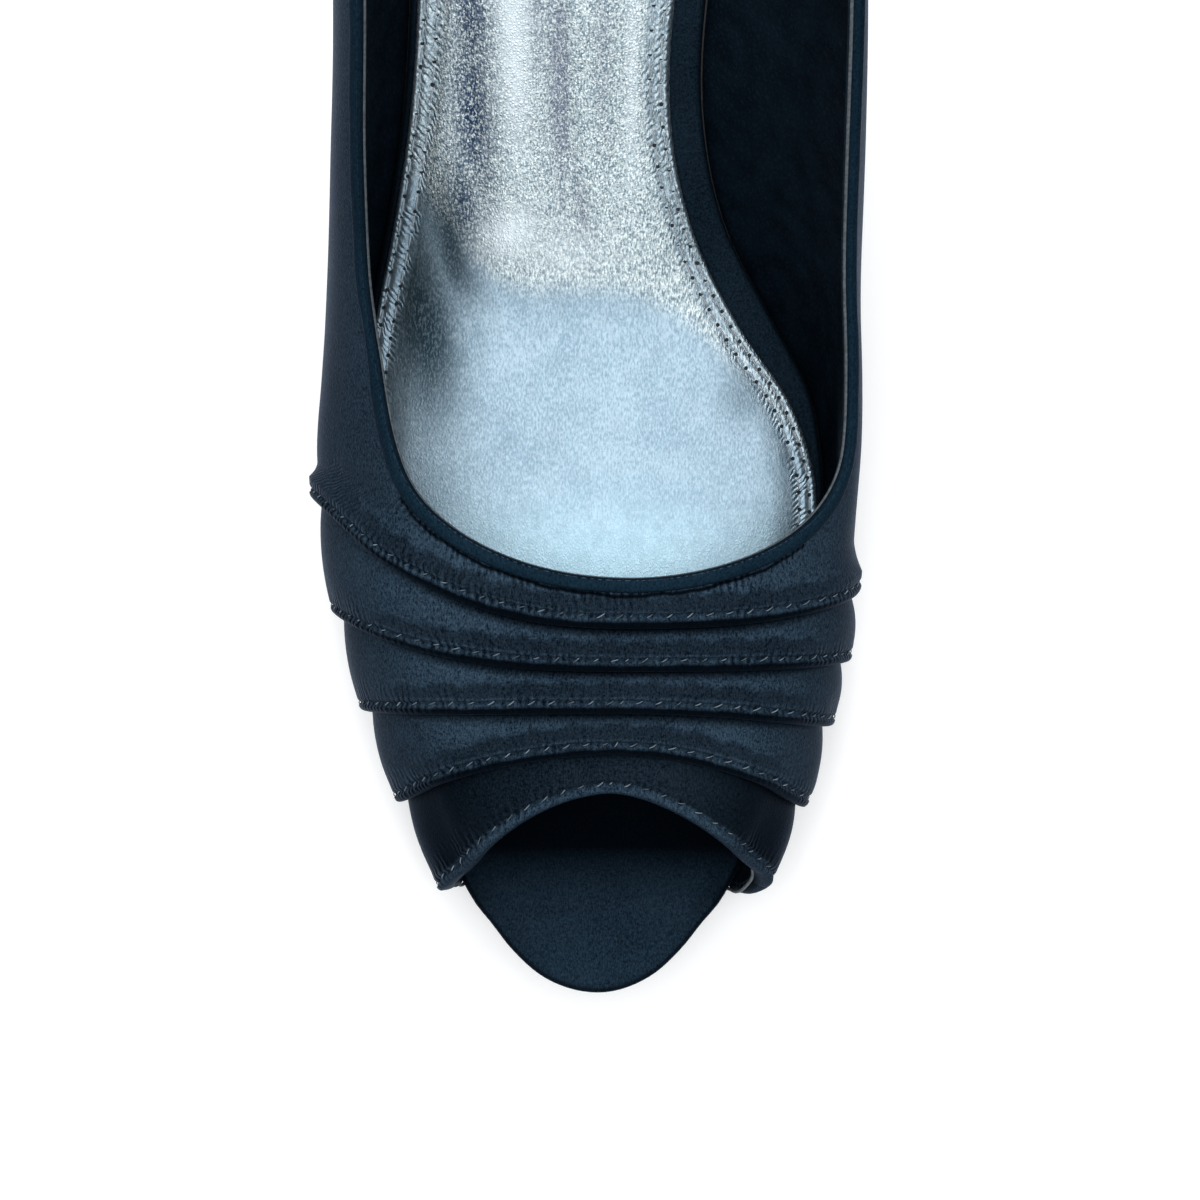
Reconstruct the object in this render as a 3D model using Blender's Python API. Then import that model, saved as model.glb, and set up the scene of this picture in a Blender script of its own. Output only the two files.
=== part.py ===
"""Right-foot peep toe pump in pleated satin, on a slim covered heel.

The last is worked out from its length, ball width, seat width and heel height by four short tables: the
feather line, where wall and insole meet; the belly, the widest line of the wall; the shoulder, which is the
topline behind the vamp; and the ridge over the toes. The upper is one hollow wall over that last, with its
tucks and its topline binding as steps. Metres, +Z up, toe towards -Y, medial side towards +X.
"""

import math

import bmesh
import bpy
import numpy as np

# Driving sizes of the last
LAST_LENGTH = 0.222
BALL_WIDTH = 0.078
SEAT_WIDTH = 0.052
TOE_RADIUS = 0.014
HEEL_HEIGHT = 0.077
TOE_SPRING = 0.0065
VAMP_HEIGHT = 0.0363
SIDE_HEIGHT = 0.044
BACK_HEIGHT = 0.057

# Thicknesses and clearances
WALL = 0.0018
OUTSOLE = 0.0028
INSOLE = 0.0032
SOCK = 0.0012
GAP = 0.0003

# Tucks and binding of the upper
TUCK_HEIGHT = 0.0015
TUCK_ROLL = 0.0010
TUCK_LOSS_AT_SOLE = 0.6
BINDING_WIDTH = 0.0027
BINDING_STEP = 0.00035
BINDING_FOOT = 1.25

# Outsole, insole and heel
OUTSOLE_INSET = 0.0004
TONGUE_INSET = 0.0011
INSOLE_ROUND = 0.0011
SOCK_BEVEL = 0.0006
HEEL_LENGTH = 0.044
HEEL_TAPER = 2.2
BREAST_HOLLOW = 0.0035
BREAST_HOLLOW_END = 0.67
TIP_WIDTH = 0.0130
TIP_LENGTH = 0.0135
TIP_SETBACK = 0.0090
TIP_THICKNESS = 0.0045
TIP_CHAMFER = 0.0003

LATERAL, MEDIAL = -1, 1
RIDGE_LINE, SHOULDER_LINE, BELLY_LINE, FEATHER_LINE = 0, 1, 2, 3
QUARTER_TURN = math.pi / 2
SEAT_RADIUS = SEAT_WIDTH / 2
HEEL_CENTRE = LAST_LENGTH - SEAT_RADIUS
STRAIGHT = HEEL_CENTRE - TOE_RADIUS
TOE_ARC = TOE_RADIUS * QUARTER_TURN
HEEL_ARC = SEAT_RADIUS * QUARTER_TURN
ROUND_LAST = TOE_ARC + STRAIGHT + HEEL_ARC
INSOLE_BOTTOM = OUTSOLE + GAP
SOCK_BOTTOM = INSOLE_BOTTOM + INSOLE + GAP

# Underside of the sole: place as a share of the last's length, then shares of toe spring and heel height
SIDE_PROFILE = (
    # along, spring, heel
    (-0.030, 1.22, 0.000),
    (0.000, 1.00, 0.000),
    (0.045, 0.70, 0.000),
    (0.113, 0.36, 0.000),
    (0.180, 0.13, 0.000),
    (0.234, 0.02, 0.000),
    (0.270, 0.00, 0.000),
    (0.446, 0.00, 0.000),
    (0.477, 0.00, 0.010),
    (0.500, 0.00, 0.031),
    (0.523, 0.00, 0.065),
    (0.568, 0.00, 0.156),
    (0.613, 0.00, 0.271),
    (0.658, 0.00, 0.400),
    (0.703, 0.00, 0.527),
    (0.748, 0.00, 0.649),
    (0.793, 0.00, 0.758),
    (0.838, 0.00, 0.844),
    (0.883, 0.00, 0.903),
    (0.928, 0.00, 0.943),
    (0.973, 0.00, 0.977),
    (1.000, 0.00, 0.997),
    (1.060, 0.00, 1.040),
)

# A station runs from -1 at the toe tip to 0 where the toe round ends, 1 at the seat's centre and 2 at the
# middle of the back. Widths are shares of the size that the row names, measured from the last's centre line.
FEATHER = (
    # station, width of, lateral, medial
    (-1.000, TOE_RADIUS, 1.000, 1.000),
    (-0.610, TOE_RADIUS, 1.030, 1.010),
    (-0.330, TOE_RADIUS, 1.100, 1.070),
    (-0.140, TOE_RADIUS, 1.215, 1.185),
    (0.000, BALL_WIDTH, 0.247, 0.243),
    (0.033, BALL_WIDTH, 0.289, 0.287),
    (0.071, BALL_WIDTH, 0.324, 0.326),
    (0.115, BALL_WIDTH, 0.367, 0.367),
    (0.170, BALL_WIDTH, 0.414, 0.404),
    (0.280, BALL_WIDTH, 0.477, 0.453),
    (0.385, BALL_WIDTH, 0.499, 0.460),
    (0.440, BALL_WIDTH, 0.492, 0.436),
    (0.511, BALL_WIDTH, 0.467, 0.350),
    (0.582, BALL_WIDTH, 0.423, 0.254),
    (0.660, BALL_WIDTH, 0.376, 0.203),
    (0.747, BALL_WIDTH, 0.341, 0.206),
    (0.870, SEAT_WIDTH, 0.485, 0.419),
    (1.000, SEAT_WIDTH, 0.500, 0.500),
    (1.330, SEAT_WIDTH, 0.500, 0.500),
    (2.000, SEAT_WIDTH, 0.500, 0.500),
)

BELLY = (
    # station, width of, lateral, medial, height of, lateral height, medial height
    (0.000, BALL_WIDTH, 0.264, 0.284, SIDE_HEIGHT, 0.160, 0.160),
    (0.033, BALL_WIDTH, 0.292, 0.314, SIDE_HEIGHT, 0.160, 0.160),
    (0.071, BALL_WIDTH, 0.335, 0.356, SIDE_HEIGHT, 0.180, 0.180),
    (0.115, BALL_WIDTH, 0.382, 0.397, SIDE_HEIGHT, 0.190, 0.190),
    (0.170, BALL_WIDTH, 0.429, 0.434, SIDE_HEIGHT, 0.210, 0.210),
    (0.225, BALL_WIDTH, 0.467, 0.464, SIDE_HEIGHT, 0.230, 0.240),
    (0.280, BALL_WIDTH, 0.498, 0.474, SIDE_HEIGHT, 0.250, 0.260),
    (0.385, BALL_WIDTH, 0.528, 0.474, SIDE_HEIGHT, 0.280, 0.300),
    (0.440, BALL_WIDTH, 0.517, 0.478, SIDE_HEIGHT, 0.300, 0.350),
    (0.511, BALL_WIDTH, 0.498, 0.474, SIDE_HEIGHT, 0.340, 0.450),
    (0.582, BALL_WIDTH, 0.470, 0.459, SIDE_HEIGHT, 0.410, 0.610),
    (0.670, BALL_WIDTH, 0.434, 0.434, SIDE_HEIGHT, 0.480, 0.700),
    (0.747, BALL_WIDTH, 0.411, 0.411, SIDE_HEIGHT, 0.480, 0.640),
    (0.870, SEAT_WIDTH, 0.570, 0.570, SIDE_HEIGHT, 0.460, 0.500),
    (1.000, SEAT_WIDTH, 0.556, 0.556, SIDE_HEIGHT, 0.440, 0.440),
    (1.330, SEAT_WIDTH, 0.548, 0.548, SIDE_HEIGHT, 0.440, 0.440),
    (1.670, SEAT_WIDTH, 0.573, 0.573, SIDE_HEIGHT, 0.450, 0.450),
    (1.850, SEAT_WIDTH, 0.580, 0.580, SIDE_HEIGHT, 0.455, 0.455),
    (2.000, SEAT_WIDTH, 0.580, 0.580, SIDE_HEIGHT, 0.455, 0.455),
)

SHOULDER = (
    # station, width of, lateral, medial, height of, height, lean from upright in degrees
    (0.000, BALL_WIDTH, 0.188, 0.213, VAMP_HEIGHT, 0.405, 45),
    (0.115, BALL_WIDTH, 0.295, 0.310, VAMP_HEIGHT, 0.537, 45),
    (0.170, BALL_WIDTH, 0.340, 0.350, VAMP_HEIGHT, 0.634, 45),
    (0.225, BALL_WIDTH, 0.372, 0.379, VAMP_HEIGHT, 0.716, 44),
    (0.280, BALL_WIDTH, 0.397, 0.406, VAMP_HEIGHT, 0.785, 42),
    (0.335, BALL_WIDTH, 0.405, 0.428, VAMP_HEIGHT, 0.840, 38),
    (0.385, BALL_WIDTH, 0.403, 0.444, VAMP_HEIGHT, 0.882, 32),
    (0.440, BALL_WIDTH, 0.394, 0.445, SIDE_HEIGHT, 0.773, 25),
    (0.511, BALL_WIDTH, 0.390, 0.433, SIDE_HEIGHT, 0.870, 15),
    (0.582, BALL_WIDTH, 0.376, 0.421, SIDE_HEIGHT, 0.950, 10),
    (0.670, BALL_WIDTH, 0.353, 0.404, SIDE_HEIGHT, 0.980, 8),
    (0.747, BALL_WIDTH, 0.338, 0.381, SIDE_HEIGHT, 0.970, 8),
    (0.870, SEAT_WIDTH, 0.481, 0.505, SIDE_HEIGHT, 0.980, 9),
    (1.000, SEAT_WIDTH, 0.473, 0.473, BACK_HEIGHT, 0.800, 10),
    (1.330, SEAT_WIDTH, 0.474, 0.474, BACK_HEIGHT, 0.860, 11),
    (1.670, SEAT_WIDTH, 0.486, 0.486, BACK_HEIGHT, 0.950, 12),
    (1.850, SEAT_WIDTH, 0.492, 0.492, BACK_HEIGHT, 0.988, 12),
    (2.000, SEAT_WIDTH, 0.492, 0.492, BACK_HEIGHT, 1.000, 12),
)

RIDGE = (
    # station, width of, towards medial, height of, height
    (0.000, BALL_WIDTH, 0.008, VAMP_HEIGHT, 0.480),
    (0.110, BALL_WIDTH, 0.019, VAMP_HEIGHT, 0.634),
    (0.170, BALL_WIDTH, 0.036, VAMP_HEIGHT, 0.800),
    (0.225, BALL_WIDTH, 0.051, VAMP_HEIGHT, 0.910),
    (0.280, BALL_WIDTH, 0.064, VAMP_HEIGHT, 1.000),
    (0.335, BALL_WIDTH, 0.070, VAMP_HEIGHT, 1.130),
    (0.385, BALL_WIDTH, 0.077, VAMP_HEIGHT, 1.270),
    (0.600, BALL_WIDTH, 0.077, VAMP_HEIGHT, 1.600),
    (2.000, BALL_WIDTH, 0.077, VAMP_HEIGHT, 1.600),
)

# Each tuck crosses the vamp from side to side: its station on the ridge, how far its two ends run back from
# there as shares of the straight part, and how late it bends. The first is the edge of the open toe.
TUCKS = (
    # ridge, lateral end, medial end, bend
    (0.108, -0.094, -0.085, 1.4),
    (0.143, -0.049, -0.054, 2.0),
    (0.175, -0.004, -0.018, 2.2),
    (0.208, 0.043, 0.003, 3.0),
    (0.241, 0.103, 0.026, 2.7),
)

# Section across a tuck: distance behind its front edge in rolls, and height as a share of the tuck's
TUCK_SECTION = (
    # back, height
    (0.00, 0.00),
    (0.25, 0.80),
    (1.00, 1.00),
    (2.00, 0.62),
    (3.00, 0.75),
)

# The slope behind it: share of the way to the next tuck, or to the binding, and height as a share
TUCK_SLOPE = ((0.60, 0.40),)
LAST_TUCK_SLOPE = ((0.35, 0.55), (0.70, 0.25))

# The throat's curve as stations: its middle, where it ends on each topline, and where the line that goes
# down from its corner meets the sole
THROAT = 0.275
THROAT_SQUARENESS = {LATERAL: 0.90, MEDIAL: 1.02}
THROAT_ENDS = {LATERAL: 0.490, MEDIAL: 0.380}
THROAT_FEET = {LATERAL: 0.430, MEDIAL: 0.363}

# How far the sock stays inside the feather line, as shares of the ball width
SOCK_EDGE = (
    # station, lateral, medial
    (0.160, 0.020, 0.020),
    (0.280, 0.020, 0.020),
    (0.360, 0.020, 0.022),
    (0.440, 0.020, 0.052),
    (0.511, 0.020, 0.072),
    (0.582, 0.020, 0.068),
    (0.660, 0.020, 0.066),
    (0.747, 0.020, 0.058),
    (0.870, 0.020, 0.034),
    (1.000, 0.020, 0.020),
    (2.000, 0.020, 0.020),
)

# How far the outsole's edge stands out from the feather line: inside the wrapped toe, then under the wall
OUTSOLE_EDGE = (
    # station, outwards
    (-1.000, -TONGUE_INSET),
    (-0.100, -TONGUE_INSET),
    (0.060, WALL - OUTSOLE_INSET),
    (0.120, WALL - OUTSOLE_INSET),
    (2.000, WALL - OUTSOLE_INSET),
)

# How finely the surfaces are divided: rows and columns of the upper, and stations of the sole's layers
ROWS = 16
CORNER_ROW = 5
CORNER_TURN = 50
CORNER_COLUMNS = 4
SIDE_COLUMNS = 13
BACK_COLUMNS = 11
ARCH_START = 0.42
FOREPART = ((-1, 0, 13), (0, 0.25, 9), (0.25, ARCH_START, 4))
SEAT_TURN = (1, 2, 10)
HEEL_DROPS = (0, 0.03, 0.08, 0.15, 0.24, 0.35, 0.48, 0.64, 0.82, 1)
BREAST_ACROSS = (0.2, 0.5, 0.8)
SHARP_EDGE = 35
BREAST_STATION = 1 - (HEEL_LENGTH - SEAT_RADIUS) / STRAIGHT
SLIGHT = 1e-5


def station(share):
    """Distance round the last, from the toe tip, of a station between -1 and 2."""
    if share < 0:
        return TOE_ARC * (1 + share)
    if share <= 1:
        return TOE_ARC + share * STRAIGHT
    return TOE_ARC + STRAIGHT + (share - 1) * HEEL_ARC


def through(places, values, place):
    """A smooth curve through the values, flat at both ends and where two neighbours are equal."""
    k = int(np.clip(np.searchsorted(places, place) - 1, 0, len(places) - 2))
    steps = np.diff(places)
    rises = np.diff(values) / steps

    def slope(i):
        if i == 0 or i == len(rises) or rises[i - 1] == 0 or rises[i] == 0:
            return 0.0
        return (steps[i] * rises[i - 1] + steps[i - 1] * rises[i]) / (steps[i - 1] + steps[i])

    t = (place - places[k]) / steps[k]
    start, end = slope(k) * steps[k], slope(k + 1) * steps[k]
    low, high = values[k], values[k + 1]
    return (
        low * (2 * t**3 - 3 * t**2 + 1)
        + start * (t**3 - 2 * t**2 + t)
        + high * (3 * t**2 - 2 * t**3)
        + end * (t**3 - t**2)
    )


class Line:
    """One column of a table of stations, in metres or degrees, read at any distance round the last."""

    def __init__(self, table, column, size_column=None):
        self.places = np.array([station(row[0]) for row in table])
        sizes = np.array([row[size_column] if size_column is not None else 1.0 for row in table])
        self.values = np.array([row[column] for row in table]) * sizes

    def __call__(self, place):
        return float(through(self.places, self.values, place))


FEATHER_WIDTH = {LATERAL: Line(FEATHER, 2, 1), MEDIAL: Line(FEATHER, 3, 1)}
BELLY_WIDTH = {LATERAL: Line(BELLY, 2, 1), MEDIAL: Line(BELLY, 3, 1)}
BELLY_HEIGHT = {LATERAL: Line(BELLY, 5, 4), MEDIAL: Line(BELLY, 6, 4)}
SHOULDER_WIDTH = {LATERAL: Line(SHOULDER, 2, 1), MEDIAL: Line(SHOULDER, 3, 1)}
SHOULDER_HEIGHT = Line(SHOULDER, 5, 4)
SHOULDER_LEAN = Line(SHOULDER, 6)
RIDGE_ACROSS = Line(RIDGE, 2, 1)
RIDGE_HEIGHT = Line(RIDGE, 4, 3)
SOCK_INSET = {LATERAL: Line(SOCK_EDGE, 1), MEDIAL: Line(SOCK_EDGE, 2)}
OUTSOLE_OUT = Line(OUTSOLE_EDGE, 1)
PROFILE_PLACES = np.array([row[0] for row in SIDE_PROFILE]) * LAST_LENGTH
PROFILE_HEIGHTS = np.array([spring * TOE_SPRING + heel * HEEL_HEIGHT for _, spring, heel in SIDE_PROFILE])


def underside(y):
    """Height of the sole's underside above the floor."""
    return float(through(PROFILE_PLACES, PROFILE_HEIGHTS, y))


def plan_point(place, side, out):
    """The point at that distance out from the centre line, seen from above."""
    if place < TOE_ARC:
        centre, turn = TOE_RADIUS, (place - TOE_ARC) / TOE_RADIUS
    elif place <= TOE_ARC + STRAIGHT:
        centre, turn = TOE_RADIUS + place - TOE_ARC, 0.0
    else:
        centre, turn = HEEL_CENTRE, (place - TOE_ARC - STRAIGHT) / SEAT_RADIUS
    return np.array([side * out * math.cos(turn), centre + out * math.sin(turn)])


def outline_point(place, side, outwards=0.0):
    """A point of the feather line seen from above, moved outwards square to the line."""
    point = plan_point(place, side, FEATHER_WIDTH[side](place))
    if place <= SLIGHT:
        return point - np.array([0.0, outwards])
    if place >= ROUND_LAST - SLIGHT:
        return point + np.array([0.0, outwards])
    before = plan_point(place - SLIGHT, side, FEATHER_WIDTH[side](place - SLIGHT))
    after = plan_point(place + SLIGHT, side, FEATHER_WIDTH[side](place + SLIGHT))
    along = (after - before) / np.linalg.norm(after - before)
    return point + outwards * side * np.array([along[1], -along[0]])


def bend(start, start_way, end, end_way, t):
    """A curve between two points of a section that leaves and arrives in the given directions."""
    reach = np.linalg.norm(end - start)
    leaving = start_way / np.linalg.norm(start_way) * reach
    arriving = end_way / np.linalg.norm(end_way) * reach
    return (
        start * (2 * t**3 - 3 * t**2 + 1)
        + leaving * (t**3 - 2 * t**2 + t)
        + end * (3 * t**2 - 2 * t**3)
        + arriving * (t**3 - t**2)
    )


def section_point(place, line, side):
    """Distance out and height on the last's section, from line 0 on the ridge to 3 on the feather line."""
    ridge = np.array([side * RIDGE_ACROSS(place), RIDGE_HEIGHT(place)])
    shoulder = np.array([SHOULDER_WIDTH[side](place), SHOULDER_HEIGHT(place)])
    belly = np.array([BELLY_WIDTH[side](place), BELLY_HEIGHT[side](place)])
    feather = np.array([FEATHER_WIDTH[side](place), 0.0])
    lean = math.radians(SHOULDER_LEAN(place))
    down = np.array([0.0, -1.0])
    over_shoulder = np.array([math.sin(lean), -math.cos(lean)])
    tucking_in = feather - belly - np.array([belly[1] / 2, 0.0])
    if line <= SHOULDER_LINE:
        return bend(ridge, np.array([1.0, 0.0]), shoulder, over_shoulder, line)
    if line <= BELLY_LINE:
        return bend(shoulder, over_shoulder, belly, down, line - SHOULDER_LINE)
    return bend(belly, down, feather, tucking_in, line - BELLY_LINE)


def last_point(place, line, side):
    """A point of the last's surface, which is the inside of the upper."""
    out, height = section_point(place, line, side)
    x, y = plan_point(place, side, out)
    return np.array([x, y, underside(y) + INSOLE_BOTTOM + height])


def last_normal(place, line, side):
    """The direction square to the last's surface, outwards."""
    back = min(place + SLIGHT, ROUND_LAST)
    front = back - 2 * SLIGHT
    low = min(line + SLIGHT, FEATHER_LINE)
    high = max(line - SLIGHT, RIDGE_LINE)
    along = last_point(back, line, side) - last_point(front, line, side)
    around = last_point(place, low, side) - last_point(place, high, side)
    if side == MEDIAL:
        square = np.cross(around, along)
    else:
        square = np.cross(along, around)
    return square / np.linalg.norm(square)


def wall_pair(place, line, side, raised):
    """The inside and outside points of the upper at one place of the last."""
    inside = last_point(place, line, side)
    square = last_normal(place, line, side)
    if line < FEATHER_LINE - SLIGHT:
        return inside, inside + square * (WALL + raised)
    level = np.array([square[0], square[1], 0.0])
    outside = inside + level / np.linalg.norm(level) * (WALL + raised)
    outside[2] = underside(outside[1]) + INSOLE_BOTTOM
    return inside, outside


def tuck_place(tuck, line, side):
    """Where a tuck's front edge crosses a line of the last."""
    ridge, lateral_end, medial_end, late = tuck
    place = station(ridge)
    end = lateral_end if side == LATERAL else medial_end
    middle = section_point(place, RIDGE_LINE, side)[0]
    widest = section_point(place, BELLY_LINE, side)[0]
    out = section_point(place, min(line, BELLY_LINE), side)[0]
    share = max((out - middle) / (widest - middle), 0.0)
    return place + end * STRAIGHT * share**late


def throat_point(turned, side):
    """Place and line of the throat's curve, turned 0 degrees in its middle and 90 on the topline."""
    start, end = station(THROAT), station(THROAT_ENDS[side])
    angle = math.radians(turned)
    square = THROAT_SQUARENESS[side]
    back = 1 - max(math.cos(angle), 0.0) ** square
    return start + (end - start) * back, SHOULDER_LINE * math.sin(angle) ** square


def lines_below(place, top):
    """Lines from the topline down to the feather line: three across the binding, then evenly spaced."""
    drop = np.linalg.norm(section_point(place, SHOULDER_LINE, MEDIAL) - section_point(place, BELLY_LINE, MEDIAL))
    near = [top + across * BINDING_WIDTH / drop for across in (0.0, 0.5, 1.0, BINDING_FOOT)]
    rest = np.linspace(near[-1], FEATHER_LINE, ROWS - CORNER_ROW - len(near) + 2)
    return near + list(rest[1:])


def throat_column(side):
    """The last column of the vamp: round the throat to its corner, then down the wall to the sole."""
    column = [throat_point(CORNER_TURN * row / CORNER_ROW, side) for row in range(CORNER_ROW)]
    place, top = throat_point(CORNER_TURN, side)
    foot = station(THROAT_FEET[side])
    for line in lines_below(place, top):
        column.append((place + (foot - place) * (line - top) / (FEATHER_LINE - top), line))
    return column


def tuck_column(tuck, side, back):
    """A column of places and lines that runs a fixed distance behind a tuck's front edge."""
    lines = [FEATHER_LINE * row / ROWS for row in range(ROWS + 1)]
    return [(tuck_place(tuck, line, side) + back, line) for line in lines]


def between(first, second, share):
    """The column that lies at a share of the way from one column to the next."""
    return [tuple(np.array(a) * (1 - share) + np.array(b) * share) for a, b in zip(first, second)]


def vamp_columns(side):
    """Columns from the open toe to the throat, each with its height as a share of the tuck's."""
    columns = []
    for tuck, following in zip(TUCKS, TUCKS[1:]):
        for back, height in TUCK_SECTION:
            columns.append((tuck_column(tuck, side, back * TUCK_ROLL), height))
        foot = tuck_column(following, side, 0.0)
        for share, height in TUCK_SLOPE:
            columns.append((between(columns[-1][0], foot, share), height))
    for back, height in TUCK_SECTION[:-1]:
        columns.append((tuck_column(TUCKS[-1], side, back * TUCK_ROLL), height))
    start, throat = columns[-1][0], throat_column(side)
    width = station(THROAT) - start[0][0]
    bound = [1 - across * BINDING_WIDTH / width for across in (BINDING_FOOT, 1.0, 0.5)]
    for share, height in LAST_TUCK_SLOPE:
        columns.append((between(start, throat, share * bound[0]), height))
    for share in bound:
        columns.append((between(start, throat, share), 0.0))
    columns.append((throat, 0.0))
    columns[0] = (columns[0][0], TUCK_SECTION[1][1] / 2)
    return columns


def topline(side, finer=1):
    """Places and lines along the topline, from the throat's corner to the middle of the back."""
    turns = np.linspace(CORNER_TURN, 90, CORNER_COLUMNS * finer + 1)
    turning = [throat_point(turned, side) for turned in turns]
    along = np.linspace(turning[-1][0], station(1), SIDE_COLUMNS * finer + 1)[1:]
    around = np.linspace(station(1), ROUND_LAST, BACK_COLUMNS * finer + 1)[1:]
    return turning + [(place, float(SHOULDER_LINE)) for place in (*along, *around)]


def quarter_columns(side):
    """Columns from the throat's corner to the middle of the back, each from the topline to the sole."""
    corner, *tops = topline(side)
    start = station(THROAT_FEET[side])
    columns = []
    for place, top in tops:
        foot = start + (ROUND_LAST - start) * (place - corner[0]) / (ROUND_LAST - corner[0])
        lines = lines_below(place, top)
        columns.append([(place + (foot - place) * (line - top) / (FEATHER_LINE - top), line) for line in lines])
    return columns


def binding_step(point, edge):
    """The binding's extra thickness: full within its width of the topline, none beyond."""
    gap = np.linalg.norm(edge - point, axis=1).min()
    return BINDING_STEP if gap < BINDING_WIDTH * (1 + BINDING_FOOT) / 2 else 0.0


def new_object(name, bm, finish, collection, parent):
    """Puts a finished bmesh into the collection as a named, smoothly shaded object."""
    mesh = bpy.data.meshes.new(name)
    bmesh.ops.remove_doubles(bm, verts=bm.verts, dist=2 * SLIGHT)
    bmesh.ops.recalc_face_normals(bm, faces=bm.faces)
    bm.to_mesh(mesh)
    bm.free()
    mesh.shade_smooth()
    mesh.set_sharp_from_angle(angle=math.radians(SHARP_EDGE))
    mesh.materials.append(finish)
    made = bpy.data.objects.new(name, mesh)
    made.parent = parent
    collection.objects.link(made)
    return made


def skin(bm, grid):
    """Quads over a grid of vertices, skipping those that have no vertex."""
    for first, second in zip(grid, grid[1:]):
        for a, b, c, d in zip(first, second, second[1:], first[1:]):
            corners = [v for v in (a, b, c, d) if v is not None]
            if len(corners) == 4:
                bm.faces.new(corners)


def make_upper():
    """One hollow wall: both sides of the vamp and quarters, open at throat, toe and sole."""
    bm = bmesh.new()
    for side in (LATERAL, MEDIAL):
        vamp = vamp_columns(side)
        quarter = quarter_columns(side)
        edge_places = [throat_point(turned, side) for turned in range(0, 90, 5)]
        edge_places += topline(side, finer=3)
        edge = np.array([last_point(place, line, side) for place, line in edge_places])
        columns = [(column, height, 0) for column, height in vamp]
        columns += [([None] * CORNER_ROW + column, 0.0, CORNER_ROW) for column in quarter]
        inner_grid, outer_grid = [], []
        for column, height, first_row in columns:
            inner_row, outer_row = [None] * first_row, [None] * first_row
            for place, line in column[first_row:]:
                kept = 1 - max(line - BELLY_LINE, 0.0) * TUCK_LOSS_AT_SOLE
                raised = TUCK_HEIGHT * height * kept
                raised += binding_step(last_point(place, line, side), edge)
                inside, outside = wall_pair(place, line, side, raised)
                inner_row.append(bm.verts.new(inside))
                outer_row.append(bm.verts.new(outside))
            inner_grid.append(inner_row)
            outer_grid.append(outer_row)
        skin(bm, inner_grid)
        skin(bm, outer_grid)
        corner = len(vamp) - 1
        borders = [
            (inner_grid[0], outer_grid[0]),
            ([row[-1] for row in inner_grid], [row[-1] for row in outer_grid]),
            (inner_grid[corner][: CORNER_ROW + 1], outer_grid[corner][: CORNER_ROW + 1]),
            (
                [row[CORNER_ROW] for row in inner_grid[corner:]],
                [row[CORNER_ROW] for row in outer_grid[corner:]],
            ),
        ]
        for inner_edge, outer_edge in borders:
            skin(bm, [inner_edge, outer_edge])
    return bm


def tube(bm, rings):
    """Quads between closed rings of vertices."""
    for first, second in zip(rings, rings[1:]):
        for k in range(len(first)):
            bm.faces.new((first[k - 1], first[k], second[k], second[k - 1]))


def slab(bm, places, section):
    """A sole layer: at each place a ring of points from the lateral edge over the top to the medial edge.

    section(place, side) gives (outwards, height) pairs from the bottom edge up to the top face.
    """
    rings = []
    for place in places:
        ring = []
        for side in (LATERAL, MEDIAL):
            half = []
            for outwards, height in section(place, side):
                x, y = outline_point(place, side, outwards)
                half.append(bm.verts.new((x, y, underside(y) + height)))
            ring += half if side == LATERAL else half[::-1]
        rings.append(ring)
    tube(bm, rings)
    return rings


def stations(*spans):
    """Distances round the last for spans of (first station, last station, count)."""
    shares = []
    for first, last, count in spans:
        shares += list(np.linspace(first, last, count, endpoint=False))
    return [station(share) for share in (*shares, spans[-1][1])]


def make_outsole():
    """Thin sole from the toe to the heel's breast."""

    def section(place, side):
        out = OUTSOLE_OUT(place)
        return ((out - OUTSOLE_INSET, 0.0), (out, OUTSOLE / 2), (out, OUTSOLE))

    bm = bmesh.new()
    end = BREAST_STATION - GAP / STRAIGHT
    rings = slab(bm, stations(*FOREPART, (ARCH_START, end, 18)), section)
    bm.faces.new(rings[-1])
    return bm


def make_insole():
    """Board wrapped in satin, whose rounded front shows in the open toe."""

    upper_ends = min(station(TUCKS[0][0] + end) for end in TUCKS[0][1:3])

    def section(place, side):
        out = 0.0 if place < upper_ends / 2 + station(0) / 2 else -GAP
        top = INSOLE_BOTTOM + INSOLE
        corner = INSOLE_ROUND * (1 - math.sqrt(0.5))
        return (
            (out - INSOLE_ROUND / 2, INSOLE_BOTTOM),
            (out, INSOLE_BOTTOM + INSOLE_ROUND),
            (out, top - INSOLE_ROUND),
            (out - corner, top - corner),
            (out - INSOLE_ROUND, top),
        )

    bm = bmesh.new()
    slab(bm, stations(*FOREPART, (ARCH_START, 1, 24), SEAT_TURN), section)
    return bm


def make_sock():
    """Padded metallic sock on top of the insole, from under the vamp to the back."""

    def section(place, side):
        out = -SOCK_INSET[side](place) * BALL_WIDTH
        return (
            (out, SOCK_BOTTOM),
            (out - SOCK_BEVEL / 2, SOCK_BOTTOM + SOCK - SOCK_BEVEL / 2),
            (out - SOCK_BEVEL * 2, SOCK_BOTTOM + SOCK),
        )

    bm = bmesh.new()
    rings = slab(bm, stations((SOCK_EDGE[0][0], ARCH_START, 6), (ARCH_START, 1, 24), SEAT_TURN), section)
    bm.faces.new(rings[0])
    return bm


def tip_point(place, side, inset=0.0):
    """The point of the heel's foot that lies under a place of its top outline."""
    half = TIP_WIDTH / 2 - inset
    back = LAST_LENGTH - TIP_SETBACK - inset
    front = LAST_LENGTH - TIP_SETBACK - TIP_LENGTH + inset
    turn = (place - station(1)) / SEAT_RADIUS
    if turn >= 0:
        return np.array([side * half * math.cos(turn), back - half + half * math.sin(turn)])
    breast = station(BREAST_STATION)
    share = (place - breast) / (station(1) - breast)
    return np.array([side * half, front + (back - half - front) * share])


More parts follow.
